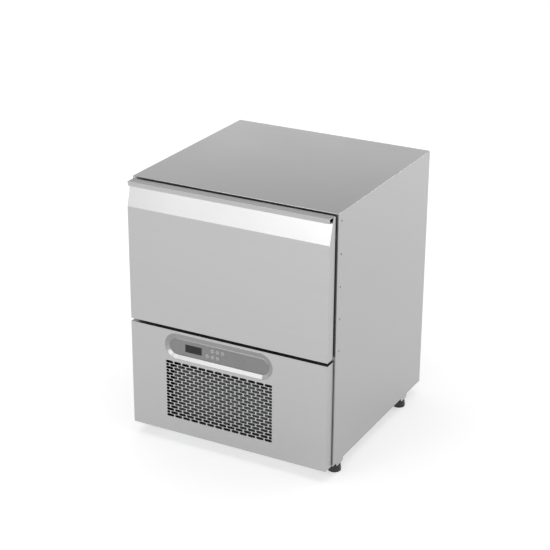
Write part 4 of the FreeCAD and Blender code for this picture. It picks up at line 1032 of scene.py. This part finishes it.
@dataclass
class KeyMarks:
    """Raised signs on the round keys. Shares are of a sign's reach, and turns are in degrees."""

    reach: float = 0.0033
    stroke: float = 0.0007
    proud: float = 0.00012
    sunk: float = 0.00008
    steps: int = 18
    arrow: tuple[Pair, ...] = ((-0.85, -0.5), (0.85, -0.5), (0.0, 0.8))
    rays: int = 8
    ray_start: float = 0.66
    disc_share: float = 0.45
    disc_hole: float = 1e-5
    disc_turn: float = 350.0
    arms: int = 6
    arm_strokes: float = 0.9
    ring_turn: float = 178.0
    power_turns: Pair = (125.0, 415.0)
    power_bar: Pair = (0.25, 1.05)

    def arc(self, radius: float, start: float, end: float) -> Outline:
        """Return points on a circle from one angle to another."""
        turns = [math.radians(start + (end - start) * i / self.steps) for i in range(self.steps + 1)]
        return [(radius * math.cos(turn), radius * math.sin(turn)) for turn in turns]

    def ring(self, outer: float, inner: float, start: float, end: float) -> Outline:
        """Return a stretch of a ring from one angle to another."""
        return self.arc(outer, start, end) + self.arc(inner, start, end)[::-1]

    def bar(self, angle: float, start: float, end: float) -> Outline:
        """Draw a straight stroke that points away from the middle.

        Args:
            angle: Where it points, in degrees.
            start: How far from the middle it starts.
            end: How far from the middle it ends.

        Returns:
            The outline.
        """
        way = Vector((math.cos(math.radians(angle)), math.sin(math.radians(angle))))
        side = Vector((-way.y, way.x)) * self.stroke / 2
        corners = (way * start - side, way * end - side, way * end + side, way * start + side)
        return [(corner.x, corner.y) for corner in corners]

    def star(self, points: int, start: float) -> list[Outline]:
        """Return strokes that point evenly all round, from a start to the sign's reach."""
        return [self.bar(360.0 * i / points, start, self.reach) for i in range(points)]

    def outlines(self, mark: Mark) -> list[Outline]:
        """Draw a sign around a key's middle.

        Args:
            mark: The sign.

        Returns:
            The sign's outlines.
        """
        reach, inner = self.reach, self.reach - self.stroke
        if mark in (Mark.UP, Mark.DOWN):
            way = 1 if mark is Mark.UP else -1
            return [[(x * reach, way * z * reach) for x, z in self.arrow]]
        if mark is Mark.LIGHT:
            disc = self.ring(reach * self.disc_share, self.disc_hole, 0.0, self.disc_turn)
            return [disc, *self.star(self.rays, reach * self.ray_start)]
        if mark is Mark.DEFROST:
            return self.star(self.arms, self.stroke * self.arm_strokes)
        if mark is Mark.SET:
            return [self.ring(reach, inner, a, a + self.ring_turn) for a in (0.0, 180.0)]
        upright = self.bar(90.0, *(reach * share for share in self.power_bar))
        return [self.ring(reach, inner, *self.power_turns), upright]

    def build(self) -> None:
        """Set a sign on each key."""
        for mark in Mark:
            low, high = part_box(mark.value)
            x, z = (low.x + high.x) / 2, (low.z + high.z) / 2
            work = bmesh.new()
            for outline in self.outlines(mark):
                shifted = [(x + dx, z + dz) for dx, dz in outline]
                add_plate(work, shifted, low.y - self.proud, low.y + self.sunk)
            piece = link_work(f"{mark.value}_mark", work)
            fit(piece, mark.value, KEY_INK)


@dataclass
class LowerFront:
    """The fixed front with its grille, and the control panel let into it."""

    board_tone: Colour = (0.03, 0.16, 0.06)
    board_roughness: float = 0.4
    relay_depth: float = 0.011

    def build(self) -> None:
        """Dress the lower front and the controls."""
        paint(FRONT_STEEL, "lower_front_panel")
        paint(BEZEL_SILVER, "control_bezel")
        paint(OVERLAY_FILM, "control_overlay")
        paint(LENS, "display_window")
        paint(KEY_CAP, *(mark.value for mark in Mark))
        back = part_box("controller_board")[1].y - self.relay_depth
        board = CircuitBoard("circuit_board", self.board_tone, self.board_roughness, board_back=back)
        paint(board, "controller_board")
        KeyMarks().build()


@dataclass
class MachineSpace:
    """Condenser, compressor, pipes and tray under the cold space."""

    coil_height: float = 0.158
    coil_rows: int = 6
    coil_depth: float = 0.055
    seam_rise: float = 0.082
    seam_radius: float = 0.0712
    seam_bead: float = 0.0018
    seam_ripple: float = 0.12
    seam_rounds: int = 72
    seam_sides: int = 8

    def seam(self) -> None:
        """Make the weld bead that joins the compressor's two shells."""
        low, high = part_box("compressor_grommets")
        middle = Vector(((low.x + high.x) / 2, (low.y + high.y) / 2, high.z + self.seam_rise))
        work = bmesh.new()
        rounds, sides = self.seam_rounds, self.seam_sides
        angles = [FULL_TURN * j / sides for j in range(sides)]
        rings = []
        for i in range(rounds):
            turn = FULL_TURN * i / rounds
            out = Vector((math.cos(turn), math.sin(turn), 0.0))
            bead = self.seam_bead * (1 + self.seam_ripple * (i % 2))
            rim = [middle + out * (self.seam_radius + bead * math.cos(a)) for a in angles]
            rises = [Vector((0.0, 0.0, bead * math.sin(a))) for a in angles]
            rings.append([work.verts.new(spot + rise) for spot, rise in zip(rim, rises)])
        for i in range(rounds):
            for j in range(sides):
                work.faces.new((rings[i - 1][j - 1], rings[i][j - 1], rings[i][j], rings[i - 1][j]))
        piece = link_work("compressor_seam", work)
        fit(piece, "cabinet", COMPRESSOR_ENAMEL)

    def build(self) -> None:
        """Dress the machine space."""
        FinnedCoil("condenser_coil", self.coil_height, self.coil_rows, self.coil_depth).build()
        self.seam()
        paint(ZINC, "condenser_shroud")
        paint(FAN_PLASTIC, "condenser_fan")
        paint(MOTOR_ENAMEL, "condenser_fan_motor")
        paint(COMPRESSOR_ENAMEL, "compressor")
        paint(GROMMET_RUBBER, "compressor_grommets")
        paint(TERMINAL_PLASTIC, "compressor_terminal_box")
        paint(COPPER, "filter_drier", "discharge_pipe", "liquid_pipe", "capillary_tube", "suction_pipe")
        paint(TRAY_PLASTIC, "condensate_tray", "drain_pipe")


@dataclass
class ColdSpace:
    """Evaporator, its cover and fan, and the probe, behind the drawer."""

    coil_height: float = 0.200
    coil_rows: int = 8
    coil_depth: float = 0.040

    def build(self) -> None:
        """Dress the cold space."""
        FinnedCoil("evaporator_coil", self.coil_height, self.coil_rows, self.coil_depth).build()
        paint(LINER_STEEL, "evaporator_cover")
        paint(FAN_PLASTIC, "evaporator_fan")
        paint(MOTOR_ENAMEL, "evaporator_fan_motor")
        paint(PROBE_PLASTIC, "temperature_probe")


@dataclass
class Feet:
    """The four levelling feet."""

    edge: float = 0.0008

    def build(self) -> None:
        """Round the edges of each foot."""
        for row in ("front", "rear"):
            for side in ("left", "right"):
                node = f"foot_{row}_{side}"
                foot = rounded_copy(node, f"{node}_pad", self.edge, SMOOTH_ANGLE)
                fit(foot, node, FOOT_NYLON, (node,))


@dataclass(frozen=True)
class SoftBox:
    """A soft box: its place, width and height, the level of its face, and its roll in degrees."""

    name: str
    place: Triple
    size: Pair
    level: float
    roll: float = 0.0

    def hang(self, aim: Vector) -> None:
        """Hang the box.

        Args:
            aim: The point that it faces.
        """
        width, height = self.size
        lamp = bpy.data.lights.new(self.name, "AREA")
        lamp.shape = "RECTANGLE"
        lamp.size, lamp.size_y = width, height
        lamp.energy = self.level * math.pi * width * height
        holder = bpy.data.objects.new(self.name, lamp)
        holder.location = self.place
        facing = (aim - Vector(self.place)).to_track_quat("-Z", "Y")
        spin = Quaternion((0.0, 0.0, 1.0), math.radians(self.roll))
        holder.rotation_euler = (facing @ spin).to_euler()
        holder.visible_camera = False
        bpy.context.scene.collection.objects.link(holder)


@dataclass
class Studio:
    """Pale floor, soft light and the camera."""

    aim: Triple = (0.0, 0.0, 0.4)
    boxes: tuple[SoftBox, ...] = (
        SoftBox("front_box", place=(-1.46, -3.60, 2.00), size=(1.4, 2.1), level=2.22),
        SoftBox("top_box", place=(0.0, 0.0, 3.6), size=(4.0, 4.0), level=1.2),
        SoftBox("rim_box", place=(2.4, 3.3, 1.25), size=(1.6, 1.4), level=2.5),
        SoftBox("strip_box", place=(0.18, -2.08, 0.65), size=(1.52, 0.32), level=2.0, roll=-36.0),
    )
    floor_reach: float = 40.0
    floor_sides: int = 64
    # Glow near the cabinet, lower than the far glow: painted shade on the floor around the cabinet's
    # base, on top of its real shadow.
    painted_shade_glow: float = 0.485
    far_glow: float = 0.66
    glow_start: float = 0.6
    glow_end: float = 4.0
    floor_tone: float = 0.73
    paper_waves: float = 2.0
    paper_swing: float = 0.01
    horizon: float = 1.34
    sky: float = 0.30
    horizon_top: float = 0.255
    sky_start: float = 0.395
    lens: float = 100.60
    sensor: float = 36.0
    sight: float = 160.0
    azimuth: float = 28.025
    elevation: float = 22.690
    roll: float = 0.3535
    place: Triple = (1.8230, -3.4609, 2.0580)

    def floor(self) -> None:
        """Make the floor, which looks white, takes a soft shadow, glows less near the cabinet as
        painted shade around its base, and lights nothing by its glow.
        """
        work = bmesh.new()
        bmesh.ops.create_circle(work, cap_ends=True, segments=self.floor_sides, radius=self.floor_reach)
        floor = link_work("studio_floor", work)
        bench = MaterialBench("studio_floor")
        paper = bench.noise(self.paper_waves) * self.paper_swing + self.floor_tone
        reach = bench.node("VectorMath", {0: bench.place}, {"operation": "LENGTH"})
        # The glow rises from the painted shade near the cabinet to the even far level between the start
        # and end distances.
        far = Value(bench, reach.outputs["Value"]).step(self.glow_start, self.glow_end)
        rays = bench.node("LightPath").outputs
        kinds = [Value(bench, rays[f"Is {kind} Ray"]) for kind in ("Camera", "Glossy", "Transmission")]
        seen = sum(kinds[1:], kinds[0]).step(0.0, 1.0)
        glow = (self.painted_shade_glow + far * (self.far_glow - self.painted_shade_glow)) * seen
        look = {"Specular IOR Level": 0.0, "Emission Color": bench.grey(glow), "Emission Strength": 1.0}
        bench.surface(bench.grey(paper), 1.0, look)
        floor.data.materials.append(bench.material)

    def world(self) -> None:
        """Make a sky that is white near the horizon and greyer above it."""
        world = bpy.data.worlds.new("studio_sky")
        bpy.context.scene.world = world
        world.use_nodes = True
        bench = NodeBench(world.node_tree)
        way = bench.node("TexCoord").outputs["Generated"]
        rise = Value(bench, bench.node("SeparateXYZ", {"Vector": way}).outputs["Z"])
        level = self.horizon + rise.step(self.horizon_top, self.sky_start) * (self.sky - self.horizon)
        sky = bench.out("Background", {"Color": (1.0, 1.0, 1.0), "Strength": level})
        bench.node("OutputWorld", {"Surface": sky})

    def camera(self) -> None:
        """Make the camera that sees the cabinet as in the photo."""
        azimuth, elevation = math.radians(self.azimuth), math.radians(self.elevation)
        flat = math.cos(elevation)
        back = Vector((math.sin(azimuth) * flat, -math.cos(azimuth) * flat, math.sin(elevation)))
        right = (-back).cross(Vector((0.0, 0.0, 1.0))).normalized()
        level = Matrix((right, right.cross(-back), back)).transposed().to_4x4()
        data = bpy.data.cameras.new("photo_camera")
        data.sensor_width, data.lens = self.sensor, self.lens
        data.clip_end = self.sight
        camera = bpy.data.objects.new("photo_camera", data)
        spin = Matrix.Rotation(math.radians(self.roll), 4, "Z")
        camera.matrix_world = Matrix.Translation(self.place) @ level @ spin
        bpy.context.scene.collection.objects.link(camera)
        bpy.context.scene.camera = camera

    def build(self) -> None:
        """Set up the studio."""
        self.floor()
        self.world()
        for box in self.boxes:
            box.hang(Vector(self.aim))
        self.camera()
        bpy.context.scene.view_settings.view_transform = "Standard"


def main() -> None:
    """Build each sub-assembly in order, then the studio."""
    logging.basicConfig(level=logging.INFO, format="%(name)s: %(message)s")
    for part in (Carcass(), DrawerUnit(), LowerFront(), MachineSpace(), ColdSpace(), Feet(), Studio()):
        log.info("building %s", type(part).__name__)
        part.build()


if __name__ == "__main__":
    main()
